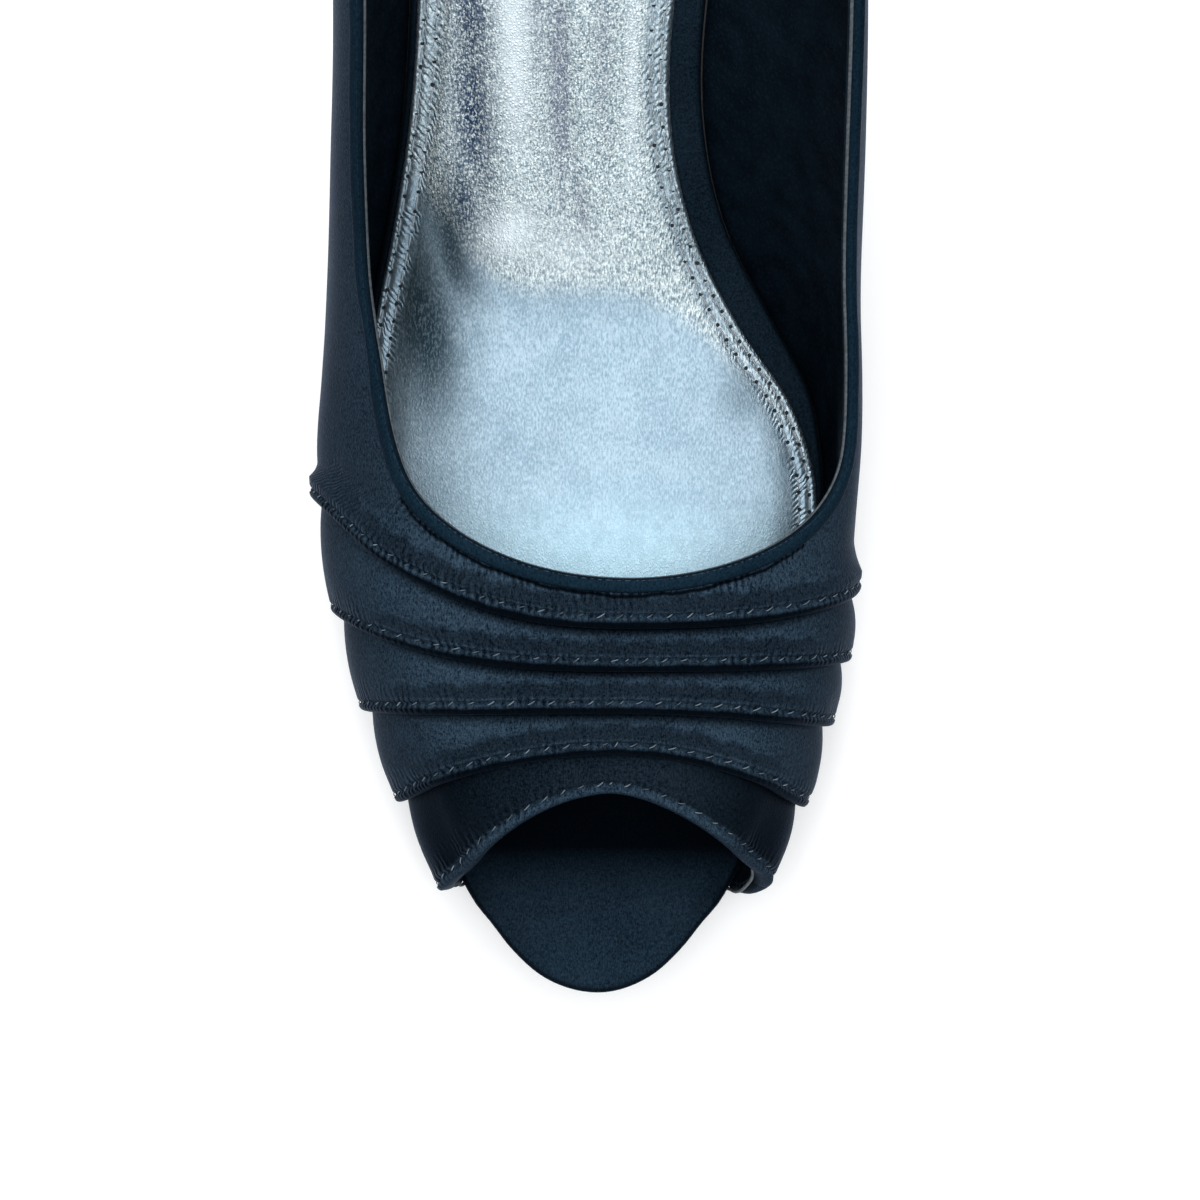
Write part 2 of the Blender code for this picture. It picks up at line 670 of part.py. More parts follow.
def both_sides(points_at, places):
    """Points along the lateral side to the back and then along the medial side to the front."""
    return [points_at(place, LATERAL) for place in places] + [points_at(place, MEDIAL) for place in places[-2::-1]]


def heel_ring(bm, drop, places):
    """One ring of the heel, from drop 0 at the seat to 1 at its foot, with its breast hollowed."""
    spread = (1 - drop) ** HEEL_TAPER
    foot_height = TIP_THICKNESS + GAP
    depth = BREAST_HOLLOW * math.sin(math.pi * min(drop / BREAST_HOLLOW_END, 1.0))
    tops = both_sides(lambda place, side: outline_point(place, side, WALL - OUTSOLE_INSET), places)
    feet = both_sides(tip_point, places)
    hollows = [0.0] * len(tops)
    medial_top, medial_foot = tops[-1], feet[-1]
    for share in BREAST_ACROSS:
        tops.append(medial_top * (1 - share) + tops[0] * share)
        feet.append(medial_foot * (1 - share) + feet[0] * share)
        hollows.append(depth * math.sin(math.pi * share))
    ring = []
    for top, foot, hollow in zip(tops, feet, hollows):
        x, y = foot + (top - foot) * spread
        seat_height = underside(top[1]) + OUTSOLE
        ring.append(bm.verts.new((x, y + hollow, seat_height + (foot_height - seat_height) * drop)))
    return ring


def make_heel():
    """Slim covered heel: its top takes the seat, its breast meets the sole's end."""
    bm = bmesh.new()
    places = stations((BREAST_STATION, 1, 5), SEAT_TURN)
    rings = [heel_ring(bm, drop, places) for drop in HEEL_DROPS]
    tube(bm, rings)
    bm.faces.new(rings[-1])
    top, back = rings[0], len(places) - 1
    lateral, medial = top[: back + 1], top[back : 2 * back + 1][::-1]
    bm.faces.new((lateral[0], lateral[1], medial[1], *top[2 * back :]))
    for k in range(1, back - 1):
        bm.faces.new((lateral[k], lateral[k + 1], medial[k + 1], medial[k]))
    bm.faces.new((lateral[back - 1], lateral[back], medial[back - 1]))
    return bm


def make_top_piece():
    """The wearing piece under the heel's foot."""
    bm = bmesh.new()
    places = stations((BREAST_STATION, 1, 2), SEAT_TURN)
    rings = []
    for height, inset in ((0.0, TIP_CHAMFER), (TIP_CHAMFER, 0.0), (TIP_THICKNESS, 0.0)):
        points = both_sides(lambda place, side: tip_point(place, side, inset), places)
        rings.append([bm.verts.new((*point, height)) for point in points])
    tube(bm, rings)
    bm.faces.new(rings[0])
    bm.faces.new(rings[-1])
    return bm


def material(name, colour, roughness, metallic=0.0):
    """A plain finish for one kind of surface."""
    made = bpy.data.materials.new(name)
    made.use_nodes = True
    shader = made.node_tree.nodes["Principled BSDF"]
    shader.inputs["Base Color"].default_value = (*colour, 1.0)
    shader.inputs["Roughness"].default_value = roughness
    shader.inputs["Metallic"].default_value = metallic
    return made


def main():
    for old in list(bpy.data.objects):
        bpy.data.objects.remove(old)
    collection = bpy.data.collections.new("peep_toe_pump")
    bpy.context.scene.collection.children.link(collection)
    middle = bpy.data.objects.new("pump_middle", None)
    collection.objects.link(middle)

    satin = (0.018, 0.022, 0.032)
    pieces = (
        ("upper", make_upper, satin, 0.55, 0.0),
        ("outsole", make_outsole, (0.012, 0.012, 0.013), 0.50, 0.0),
        ("insole", make_insole, satin, 0.60, 0.0),
        ("sock_lining", make_sock, (0.72, 0.76, 0.80), 0.30, 0.9),
        ("heel", make_heel, satin, 0.55, 0.0),
        ("top_piece", make_top_piece, (0.010, 0.010, 0.010), 0.60, 0.0),
    )
    made = [
        new_object(name, build(), material(name, colour, roughness, metallic), collection, middle)
        for name, build, colour, roughness, metallic in pieces
    ]
    points = np.array([vertex.co for piece in made for vertex in piece.data.vertices])
    low, high = points.min(axis=0), points.max(axis=0)
    middle.location = (-(low[0] + high[0]) / 2, -(low[1] + high[1]) / 2, 0.0)


main()
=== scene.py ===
# %% [markdown]
# # A pleated satin pump with an open toe
# This lesson dresses a packed shoe model with everything that a photograph of it shows: satin with
# stitched tucks, a padded silver sock, a leather lining and a covered heel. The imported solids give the
# size and the place of each piece. Every surface is drawn again here from the tables of one last, only
# finer, and where the photograph shows more, the cloth leaves those tables by a millimetre or so.

import math

import bmesh
import bpy
import numpy as np
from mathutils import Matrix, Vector


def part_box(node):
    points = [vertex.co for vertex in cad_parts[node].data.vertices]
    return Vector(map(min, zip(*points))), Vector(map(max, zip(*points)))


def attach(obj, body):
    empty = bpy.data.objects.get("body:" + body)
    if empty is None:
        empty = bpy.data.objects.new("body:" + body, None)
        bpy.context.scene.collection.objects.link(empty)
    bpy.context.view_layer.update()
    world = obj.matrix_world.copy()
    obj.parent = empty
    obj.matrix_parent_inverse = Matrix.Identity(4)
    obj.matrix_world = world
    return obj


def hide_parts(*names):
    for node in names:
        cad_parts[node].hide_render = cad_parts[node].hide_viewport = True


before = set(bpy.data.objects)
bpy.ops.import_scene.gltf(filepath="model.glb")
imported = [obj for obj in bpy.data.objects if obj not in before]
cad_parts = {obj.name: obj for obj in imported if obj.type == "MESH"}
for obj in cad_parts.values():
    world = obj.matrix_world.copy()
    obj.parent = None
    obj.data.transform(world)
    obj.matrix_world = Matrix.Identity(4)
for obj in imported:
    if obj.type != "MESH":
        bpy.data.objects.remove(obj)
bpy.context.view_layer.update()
print("packed nodes:", sorted(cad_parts))

# %% [markdown]
# ## The last
# A shoe is built over a last, a solid foot shape. Four lines run round it: the ridge over the toes, the
# shoulder (the topline behind the vamp), the belly (the widest line) and the feather line, where wall
# and insole meet. Each is a short table of stations with widths and heights as shares of named sizes.
# Reading them through a smooth curve is easier to change than hundreds of points.

# %% Sizes in metres
LAST_LENGTH, BALL_WIDTH, SEAT_WIDTH, TOE_RADIUS = 0.222, 0.078, 0.052, 0.014
HEEL_HEIGHT, TOE_SPRING = 0.077, 0.0065
VAMP_HEIGHT, SIDE_HEIGHT, BACK_HEIGHT = 0.0363, 0.044, 0.057
WALL, OUTSOLE, INSOLE, SOCK, GAP = 0.0018, 0.0028, 0.0032, 0.0012, 0.0003
TUCK_LOSS_AT_SOLE = 0.6
BINDING_WIDTH, BINDING_FOOT = 0.0027, 1.25
OUTSOLE_INSET, TONGUE_INSET, INSOLE_ROUND = 0.0004, 0.0011, 0.0011
HEEL_LENGTH, HEEL_TAPER, BREAST_HOLLOW, BREAST_HOLLOW_END = 0.044, 2.2, 0.0035, 0.67
TIP_WIDTH, TIP_LENGTH, TIP_SETBACK, TIP_THICKNESS = 0.0130, 0.0135, 0.0090, 0.0045

MM = 0.001
LATERAL, MEDIAL = -1, 1
BELLY_LINE, FEATHER_LINE = 2, 3
SEAT_RADIUS = SEAT_WIDTH / 2
HEEL_CENTRE = LAST_LENGTH - SEAT_RADIUS
STRAIGHT = HEEL_CENTRE - TOE_RADIUS
TOE_ARC = TOE_RADIUS * math.pi / 2
HEEL_ARC = SEAT_RADIUS * math.pi / 2
ROUND_LAST = TOE_ARC + STRAIGHT + HEEL_ARC
INSOLE_BOTTOM = OUTSOLE + GAP
SOCK_BOTTOM = INSOLE_BOTTOM + INSOLE + GAP
BREAST_STATION = 1 - (HEEL_LENGTH - SEAT_RADIUS) / STRAIGHT
SLIGHT = 1e-5

# %% Tables of the last, with shares of the sizes above
SIDE_PROFILE = (
    # along the last, share of toe spring, share of heel height
    (-0.030, 1.22, 0.000), (0.000, 1.00, 0.000), (0.045, 0.70, 0.000), (0.113, 0.36, 0.000),
    (0.180, 0.13, 0.000), (0.234, 0.02, 0.000), (0.270, 0.00, 0.000), (0.446, 0.00, 0.000),
    (0.477, 0.00, 0.010), (0.500, 0.00, 0.031), (0.523, 0.00, 0.065), (0.568, 0.00, 0.156),
    (0.613, 0.00, 0.271), (0.658, 0.00, 0.400), (0.703, 0.00, 0.527), (0.748, 0.00, 0.649),
    (0.793, 0.00, 0.758), (0.838, 0.00, 0.844), (0.883, 0.00, 0.903), (0.928, 0.00, 0.943),
    (0.973, 0.00, 0.977), (1.000, 0.00, 0.997), (1.060, 0.00, 1.040),
)
FEATHER = (
    # station, width of, lateral, medial
    (-1.000, TOE_RADIUS, 1.000, 1.000), (-0.610, TOE_RADIUS, 1.030, 1.010),
    (-0.330, TOE_RADIUS, 1.100, 1.070), (-0.140, TOE_RADIUS, 1.215, 1.185),
    (0.000, BALL_WIDTH, 0.247, 0.243), (0.033, BALL_WIDTH, 0.289, 0.287),
    (0.071, BALL_WIDTH, 0.324, 0.326), (0.115, BALL_WIDTH, 0.367, 0.367),
    (0.170, BALL_WIDTH, 0.414, 0.404), (0.280, BALL_WIDTH, 0.477, 0.453),
    (0.385, BALL_WIDTH, 0.499, 0.460), (0.440, BALL_WIDTH, 0.492, 0.436),
    (0.511, BALL_WIDTH, 0.467, 0.350), (0.582, BALL_WIDTH, 0.423, 0.254),
    (0.660, BALL_WIDTH, 0.376, 0.203), (0.747, BALL_WIDTH, 0.341, 0.206),
    (0.870, SEAT_WIDTH, 0.485, 0.419), (1.000, SEAT_WIDTH, 0.500, 0.500),
    (1.330, SEAT_WIDTH, 0.500, 0.500), (2.000, SEAT_WIDTH, 0.500, 0.500),
)
BELLY = (
    # station, width of, lateral, medial, share of side height lateral, medial
    (0.000, BALL_WIDTH, 0.264, 0.284, 0.160, 0.160), (0.033, BALL_WIDTH, 0.292, 0.314, 0.160, 0.160),
    (0.071, BALL_WIDTH, 0.335, 0.356, 0.180, 0.180), (0.115, BALL_WIDTH, 0.382, 0.397, 0.190, 0.190),
    (0.170, BALL_WIDTH, 0.429, 0.434, 0.210, 0.210), (0.225, BALL_WIDTH, 0.467, 0.464, 0.230, 0.240),
    (0.280, BALL_WIDTH, 0.498, 0.474, 0.250, 0.260), (0.385, BALL_WIDTH, 0.528, 0.474, 0.280, 0.300),
    (0.440, BALL_WIDTH, 0.517, 0.478, 0.300, 0.350), (0.511, BALL_WIDTH, 0.498, 0.474, 0.340, 0.450),
    (0.582, BALL_WIDTH, 0.470, 0.459, 0.410, 0.610), (0.670, BALL_WIDTH, 0.434, 0.434, 0.480, 0.700),
    (0.747, BALL_WIDTH, 0.411, 0.411, 0.480, 0.640), (0.870, SEAT_WIDTH, 0.570, 0.570, 0.460, 0.500),
    (1.000, SEAT_WIDTH, 0.556, 0.556, 0.440, 0.440), (1.330, SEAT_WIDTH, 0.548, 0.548, 0.440, 0.440),
    (1.670, SEAT_WIDTH, 0.573, 0.573, 0.450, 0.450), (1.850, SEAT_WIDTH, 0.580, 0.580, 0.455, 0.455),
    (2.000, SEAT_WIDTH, 0.580, 0.580, 0.455, 0.455),
)
SHOULDER = (
    # station, width of, lateral, medial, height of, height, lean from upright in degrees
    (0.000, BALL_WIDTH, 0.188, 0.213, VAMP_HEIGHT, 0.405, 45),
    (0.115, BALL_WIDTH, 0.295, 0.310, VAMP_HEIGHT, 0.537, 45),
    (0.170, BALL_WIDTH, 0.340, 0.350, VAMP_HEIGHT, 0.634, 45),
    (0.225, BALL_WIDTH, 0.372, 0.379, VAMP_HEIGHT, 0.716, 44),
    (0.280, BALL_WIDTH, 0.397, 0.406, VAMP_HEIGHT, 0.785, 42),
    (0.335, BALL_WIDTH, 0.405, 0.428, VAMP_HEIGHT, 0.840, 38),
    (0.385, BALL_WIDTH, 0.397, 0.444, VAMP_HEIGHT, 0.882, 32),
    (0.440, BALL_WIDTH, 0.391, 0.445, SIDE_HEIGHT, 0.773, 25),
    (0.511, BALL_WIDTH, 0.401, 0.433, SIDE_HEIGHT, 0.870, 15),
    (0.582, BALL_WIDTH, 0.393, 0.421, SIDE_HEIGHT, 0.950, 10),
    (0.670, BALL_WIDTH, 0.369, 0.404, SIDE_HEIGHT, 0.980, 8),
    (0.747, BALL_WIDTH, 0.349, 0.381, SIDE_HEIGHT, 0.970, 8),
    (0.870, SEAT_WIDTH, 0.481, 0.505, SIDE_HEIGHT, 0.980, 9),
    (1.000, SEAT_WIDTH, 0.473, 0.473, BACK_HEIGHT, 0.800, 10),
    (1.330, SEAT_WIDTH, 0.474, 0.474, BACK_HEIGHT, 0.860, 11),
    (1.670, SEAT_WIDTH, 0.486, 0.486, BACK_HEIGHT, 0.950, 12),
    (1.850, SEAT_WIDTH, 0.492, 0.492, BACK_HEIGHT, 0.988, 12),
    (2.000, SEAT_WIDTH, 0.492, 0.492, BACK_HEIGHT, 1.000, 12),
)
RIDGE = (
    # station, width of, towards medial, share of vamp height
    (0.000, BALL_WIDTH, 0.008, 0.480), (0.110, BALL_WIDTH, 0.019, 0.634),
    (0.170, BALL_WIDTH, 0.036, 0.800), (0.225, BALL_WIDTH, 0.051, 0.910),
    (0.280, BALL_WIDTH, 0.064, 1.000), (0.335, BALL_WIDTH, 0.070, 1.130),
    (0.385, BALL_WIDTH, 0.077, 1.270), (0.600, BALL_WIDTH, 0.077, 1.600),
    (2.000, BALL_WIDTH, 0.077, 1.600),
)
COLLAR_FLARE = (
    # station, degrees that the lateral collar leans out beyond the shoulder's lean
    (0.000, 0.0), (0.330, 0.0), (0.420, 18.0), (0.511, 26.0), (0.747, 24.0), (1.000, 0.0), (2.000, 0.0),
)


# %% Read a table through a smooth curve
def station(share):
    """Distance round the last, from the toe tip, of stations between -1 and 2."""
    share = np.asarray(share, float)
    round_toe = TOE_ARC * (1 + share)
    along = TOE_ARC + share * STRAIGHT
    round_heel = TOE_ARC + STRAIGHT + (share - 1) * HEEL_ARC
    return np.where(share < 0, round_toe, np.where(share <= 1, along, round_heel))


def cubic(start, leaving, end, arriving, t):
    """A smooth blend from start to end with the given slopes, t running from 0 to 1."""
    return (
        start * (2 * t**3 - 3 * t**2 + 1)
        + leaving * (t**3 - 2 * t**2 + t)
        + end * (3 * t**2 - 2 * t**3)
        + arriving * (t**3 - t**2)
    )


def through(places, values, at):
    """A smooth curve through the values, flat at both ends and where two neighbours are equal."""
    at = np.asarray(at, float)
    steps = np.diff(places)
    rises = np.diff(values) / steps
    slopes = np.zeros(len(places))
    mixed = (steps[1:] * rises[:-1] + steps[:-1] * rises[1:]) / (steps[:-1] + steps[1:])
    slopes[1:-1] = np.where((rises[:-1] == 0) | (rises[1:] == 0), 0.0, mixed)
    k = np.clip(np.searchsorted(places, at) - 1, 0, len(places) - 2)
    t = (at - places[k]) / steps[k]
    return cubic(values[k], slopes[k] * steps[k], values[k + 1], slopes[k + 1] * steps[k], t)


def column(table, number, size=None):
    """One column of a table as a function of the distance round the last."""
    places = np.array([float(station(row[0])) for row in table])
    values = np.array([row[number] * (1.0 if size is None else row[size]) for row in table])
    return lambda at: through(places, values, at)


FEATHER_WIDTH = {LATERAL: column(FEATHER, 2, 1), MEDIAL: column(FEATHER, 3, 1)}
BELLY_WIDTH = {LATERAL: column(BELLY, 2, 1), MEDIAL: column(BELLY, 3, 1)}
BELLY_SHARE = {LATERAL: column(BELLY, 4), MEDIAL: column(BELLY, 5)}
SHOULDER_WIDTH = {LATERAL: column(SHOULDER, 2, 1), MEDIAL: column(SHOULDER, 3, 1)}
SHOULDER_HEIGHT = column(SHOULDER, 5, 4)
SHOULDER_LEAN = column(SHOULDER, 6)
FLARE = column(COLLAR_FLARE, 1)
RIDGE_ACROSS = column(RIDGE, 2, 1)
RIDGE_SHARE = column(RIDGE, 3)
PROFILE_PLACES = np.array([row[0] for row in SIDE_PROFILE]) * LAST_LENGTH
PROFILE_HEIGHTS = np.array([spring * TOE_SPRING + heel * HEEL_HEIGHT for _, spring, heel in SIDE_PROFILE])

# %% [markdown]
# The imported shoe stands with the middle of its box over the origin, while the tables count from the
# toe tip. The insole's front and the heel's top piece say how far the last has moved.

# %% Where the last stands in the frame
TOE_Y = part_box("insole")[0].y
tip_low, tip_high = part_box("top_piece")
CENTRE_X = (tip_low.x + tip_high.x) / 2
print(f"last centre at x {CENTRE_X:.4f}, toe tip at y {TOE_Y:.4f}")


# %% [markdown]
# Any point of the wall is named by its distance round the last, its line and its side. Two smooth bends
# join the four lines of a section, and a third tucks the wall in under the belly. Cloth of any thickness
# then needs only a height above that surface.

# %% Points of the last
def underside(y):
    """Height of the sole's underside above the floor, for distances behind the toe tip."""
    return through(PROFILE_PLACES, PROFILE_HEIGHTS, y)


def plan(place, side, out):
    """Points at that distance out from the centre line, seen from above."""
    turn = np.where(
        place < TOE_ARC,
        (place - TOE_ARC) / TOE_RADIUS,
        np.maximum((place - TOE_ARC - STRAIGHT) / SEAT_RADIUS, 0.0),
    )
    centre = np.clip(TOE_RADIUS + place - TOE_ARC, TOE_RADIUS, HEEL_CENTRE)
    return side * out * np.cos(turn), centre + out * np.sin(turn)


def unit(vectors):
    """The same directions with a length of 1."""
    return vectors / np.linalg.norm(vectors, axis=-1, keepdims=True)


def bend(start, leaving, end, arriving, t):
    """A curve between two section points that leaves and arrives in the given directions."""
    reach = np.linalg.norm(end - start, axis=-1, keepdims=True)
    return cubic(start, unit(leaving) * reach, end, unit(arriving) * reach, t[..., None])


def pair(x, y):
    """Two arrays as one array of pairs."""
    x, y = np.broadcast_arrays(x, y)
    return np.stack([x, y], axis=-1)


def section(place, line, side):
    """Distance out and height on the last, from line 0 on the ridge to 3 on the feather line."""
    place, line = np.broadcast_arrays(np.asarray(place, float), np.asarray(line, float))
    ridge = pair(side * RIDGE_ACROSS(place), RIDGE_SHARE(place) * VAMP_HEIGHT)
    shoulder = pair(SHOULDER_WIDTH[side](place), SHOULDER_HEIGHT(place))
    belly = pair(BELLY_WIDTH[side](place), BELLY_SHARE[side](place) * SIDE_HEIGHT)
    feather = pair(FEATHER_WIDTH[side](place), 0.0)
    lean = np.radians(SHOULDER_LEAN(place) + FLARE(place) * (side == LATERAL))
    over = pair(np.sin(lean), -np.cos(lean))
    down = pair(np.zeros_like(place), -1.0)
    tucking_in = feather - belly - pair(belly[..., 1] / 2, 0.0)
    top = bend(ridge, pair(np.ones_like(place), 0.0), shoulder, over, np.clip(line, 0, 1))
    middle = bend(shoulder, over, belly, down, np.clip(line - 1, 0, 1))
    low = bend(belly, down, feather, tucking_in, np.clip(line - 2, 0, 1))
    line = line[..., None]
    return np.where(line <= 1, top, np.where(line <= 2, middle, low))


def last_point(place, line, side):
    """Points of the last's surface, in the frame: the inside of the shoe."""
    out_height = section(place, line, side)
    x, y = plan(np.asarray(place, float), side, out_height[..., 0])
    z = underside(y) + INSOLE_BOTTOM + out_height[..., 1]
    return np.stack([x + CENTRE_X, y + TOE_Y, z], axis=-1)


def last_normal(place, line, side):
    """Directions square to the last, outwards."""
    place, line = np.broadcast_arrays(np.asarray(place, float), np.asarray(line, float))
    back = np.minimum(place + SLIGHT, ROUND_LAST)
    low = np.minimum(line + SLIGHT, FEATHER_LINE)
    high = np.maximum(line - SLIGHT, 0.0)
    along = last_point(back, line, side) - last_point(back - 2 * SLIGHT, line, side)
    around = last_point(place, low, side) - last_point(place, high, side)
    return unit(np.cross(around, along) * side)


def raised(place, line, side, height):
    """Points above the last by that height in metres."""
    return last_point(place, line, side) + last_normal(place, line, side) * np.asarray(height)[..., None]


# %% [markdown]
# ## The satin upper
# Five lines cross the vamp: the lip of the open toe and four tucks. A sewer folds the cloth, presses
# the fold towards the toe and stitches it down a little behind its edge. Each fold is a rolled edge
# that hangs over a dark crease, a stitched groove behind it, and cloth that swells again before it
# dives under the next fold. The section below says that in millimetres.

# %% The tucks and the throat, as stations
TUCKS = (
    # on the ridge, lateral end, medial end, how late it bends, stitch line behind the edge in mm
    (0.108, -0.094, -0.085, 1.4, 2.00),
    (0.143, -0.049, -0.054, 2.0, 1.75),
    (0.175, -0.004, -0.018, 2.2, 1.75),
    (0.208, 0.043, 0.003, 3.0, 1.75),
    (0.241, 0.103, 0.026, 2.7, 1.90),
)
THROAT, CORNER_TURN, ROWS, CORNER_ROW = 0.278, 50, 16, 5
THROAT_SQUARENESS = {LATERAL: 0.90, MEDIAL: 1.02}
THROAT_ENDS = {LATERAL: 0.490, MEDIAL: 0.380}
THROAT_FEET = {LATERAL: 0.430, MEDIAL: 0.363}
STITCH_PITCH = 2.7
SWELL = 0.92
RIDGE_ROUND = 0.16
LIP_FOOT = {LATERAL: 0.9, MEDIAL: 3.3}

# Distance behind the front edge and height, in mm: from the crease round the rolled edge to its top
FOLD_ROLL = (
    (0.85, -0.62), (0.55, -0.60), (0.28, -0.42), (0.10, -0.08), (0.02, 0.36), (0.00, 0.74),
    (0.06, 1.02), (0.18, 1.22), (0.36, 1.37), (0.58, 1.46), (0.80, 1.50), (1.00, 1.50),
)
LIP_ROLL = (
    (2.20, -1.75), (1.20, -1.70), (0.60, -1.55), (0.24, -1.20), (0.06, -0.80), (0.00, -0.30),
    (0.03, 0.25), (0.12, 0.70), (0.30, 1.08), (0.54, 1.34), (0.78, 1.46), (1.00, 1.50),
)


def tuck_front(tuck, line, side):
    """Where a tuck's front edge crosses the lines of the last."""
    ridge, lateral_end, medial_end, late, _ = tuck
    place = float(station(ridge))
    end = lateral_end if side == LATERAL else medial_end
    middle = section(place, 0.0, side)[..., 0]
    widest = section(place, float(BELLY_LINE), side)[..., 0]
    out = section(place, np.minimum(line, BELLY_LINE), side)[..., 0]
    share = np.maximum((out - middle) / (widest - middle), 0.0)
    rounded = (share**2 + RIDGE_ROUND**2) ** (late / 2) - RIDGE_ROUND**late
    if tuck is TUCKS[0]:
        under = np.clip((line - 1.5) / 1.15, 0.0, 1.0)
        place = place - LIP_FOOT[side] * MM * under**2 * (3 - 2 * under)
    return place + end * STRAIGHT * rounded


def throat_curve(turned, side):
    """Place and line on the throat's curve, 0 degrees in its middle and 90 on the topline."""
    start, end = float(station(THROAT)), float(station(THROAT_ENDS[side]))
    angle, square = np.radians(turned), THROAT_SQUARENESS[side]
    place = start + (end - start) * (1 - np.maximum(np.cos(angle), 0.0) ** square)
    return place, np.sin(angle) ** square


def lines_down(place, top, rows):
    """Lines of the wall at fractional rows, from the topline to the feather line."""
    drop = np.linalg.norm(section(place, 1.0, MEDIAL) - section(place, 2.0, MEDIAL), axis=-1)
    bound = BINDING_WIDTH / float(drop)
    known = [top, top + bound / 2, top + bound, top + BINDING_FOOT * bound, FEATHER_LINE]
    return np.interp(rows, [CORNER_ROW, CORNER_ROW + 1, CORNER_ROW + 2, CORNER_ROW + 3, ROWS], known)


def throat_column(side, rows):
    """Round the throat to its corner, then down the wall to the sole."""
    place, line = throat_curve(CORNER_TURN * np.minimum(rows / CORNER_ROW, 1.0), side)
    corner_place, corner_line = place[-1], line[-1]
    below = rows > CORNER_ROW
    down = lines_down(corner_place, corner_line, rows[below])
    foot = float(station(THROAT_FEET[side]))
    share = (down - corner_line) / (FEATHER_LINE - corner_line)
    place, line = place.copy(), line.copy()
    place[below], line[below] = corner_place + (foot - corner_place) * share, down
    return place, line


# %% The columns of the vamp
FINE_ROWS = np.linspace(0, ROWS, 145)


def stitch_spread(line, side):
    """How far the stitch line has drawn in towards the fold, as a share of its middle distance."""
    return np.interp(line, [0.0, 0.8, 2.0, 3.0], [1.0, 1.0, 0.72 if side == LATERAL else 0.85, 0.7])


def fold_height(back, stitch_at):
    """Height in mm of the cloth behind a fold's rolled edge: it dips at the stitches and swells again."""
    groove = 0.42 * np.exp(-(((back - stitch_at) / 0.34) ** 2))
    return 1.5 * np.interp(back, [1.0, 2.0, 3.4], [1.0, 0.93, SWELL]) - groove


def fold_columns(tuck, roll, side):
    """Columns across one fold: place, line, height in mm and distance behind the edge in mm."""
    line = FEATHER_LINE * FINE_ROWS / ROWS
    front = tuck_front(tuck, line, side)
    stitch_at = tuck[4] * stitch_spread(line, side)
    behind = [(back, fold_height(back, stitch_at)) for back in np.arange(1.25, 3.41, 0.22)]
    return [
        (front + back * MM, line, height + np.zeros_like(line), np.full_like(line, back))
        for back, height in [*roll, *behind]
    ]


def vamp_columns(side):
    """Every column of the vamp from the lip to the throat, and the number of the fold it belongs to."""
    made, owners = [], []
    for number, tuck in enumerate(TUCKS):
        folds = fold_columns(tuck, LIP_ROLL if number == 0 else FOLD_ROLL, side)
        place, line, height, back = folds[-1]
        if number + 1 < len(TUCKS):
            following = tuck_front(TUCKS[number + 1], line, side) + FOLD_ROLL[0][0] * MM
            next_line, last_height = line, FOLD_ROLL[0][1]
            falls = [(share, 1 - share**2) for share in np.arange(1, 14) / 14]
        else:
            following, next_line = throat_column(side, FINE_ROWS)
            last_height = 0.0
            falls = [(share, max(1 - share / 0.55, 0.0) ** 1.4) for share in np.linspace(1 / 30, 1, 30)]
        for share, fall in falls:
            folds.append((
                place * (1 - share) + following * share,
                line * (1 - share) + next_line * share,
                height * fall + last_height * (1 - fall),
                back + (following - place) / MM * share,
            ))
        made += folds
        owners += [number] * len(folds)
    return made, owners


print("vamp columns on each side:", len(vamp_columns(LATERAL)[0]), "rows:", len(FINE_ROWS))

# %% [markdown]
# Behind the throat the wall is plain. Its columns run from the topline down to the feather line, and they
# lean so that the first one meets the last column of the vamp.


# %% The columns of the quarters
def topline(side, spacing, turns):
    """Places and lines along the topline: the turns of the throat, then on to the middle of the back."""
    place, line = throat_curve(turns, side)
    count = int((ROUND_LAST - place[-1]) / spacing)
    back = np.linspace(place[-1], ROUND_LAST, count)[1:]
    return np.concatenate([place, back]), np.concatenate([line, np.ones_like(back)])


def quarter_columns(side, spacing, rows):
    """Columns of places and lines from the topline to the sole."""
    places, tops = topline(side, spacing, np.linspace(CORNER_TURN, 90, 25))
    start = float(station(THROAT_FEET[side]))
    made = []
    for place, top in zip(places, tops):
        foot = start + (ROUND_LAST - start) * (place - places[0]) / (ROUND_LAST - places[0])
        line = lines_down(place, top, rows)
        share = (line - top) / (FEATHER_LINE - top)
        made.append((place + (foot - place) * share, line))
    return made


# %% [markdown]
# Every piece below is a grid of points turned into quads. Values for the material, such as how strongly
# the cloth is gathered, are stored with the vertices, so that they follow the shape and need no picture.

# %% Turn grids of points into a mesh
def skin(bm, grid):
    """Quads over a grid of bmesh vertices."""
    for first, second in zip(grid, grid[1:]):
        for a, b, c, d in zip(first, second, second[1:], first[1:]):
            corners = list(dict.fromkeys((a, b, c, d)))
            if len(corners) > 2 and len({v.co.to_tuple(7) for v in corners}) > 2:
                bm.faces.new(corners)


def add_grid(bm, points, layers=None):
    """Adds a grid of points to the bmesh, with named values for its vertices."""
    vertices = []
    for i, row in enumerate(points):
        made = []
        for j, point in enumerate(row):
            vertex = bm.verts.new(point)
            for name, values in (layers or {}).items():
                vertex[bm.verts.layers.float[name]] = float(values[i][j])
            made.append(vertex)
        vertices.append(made)
    skin(bm, vertices)
    return vertices


def add_capped(bm, rings):
    """Adds a grid of closed rings and fills its first and last ring."""
    grid = add_grid(bm, rings)
    for end in (grid[0], grid[-1]):
        bm.faces.new(end[:-1])


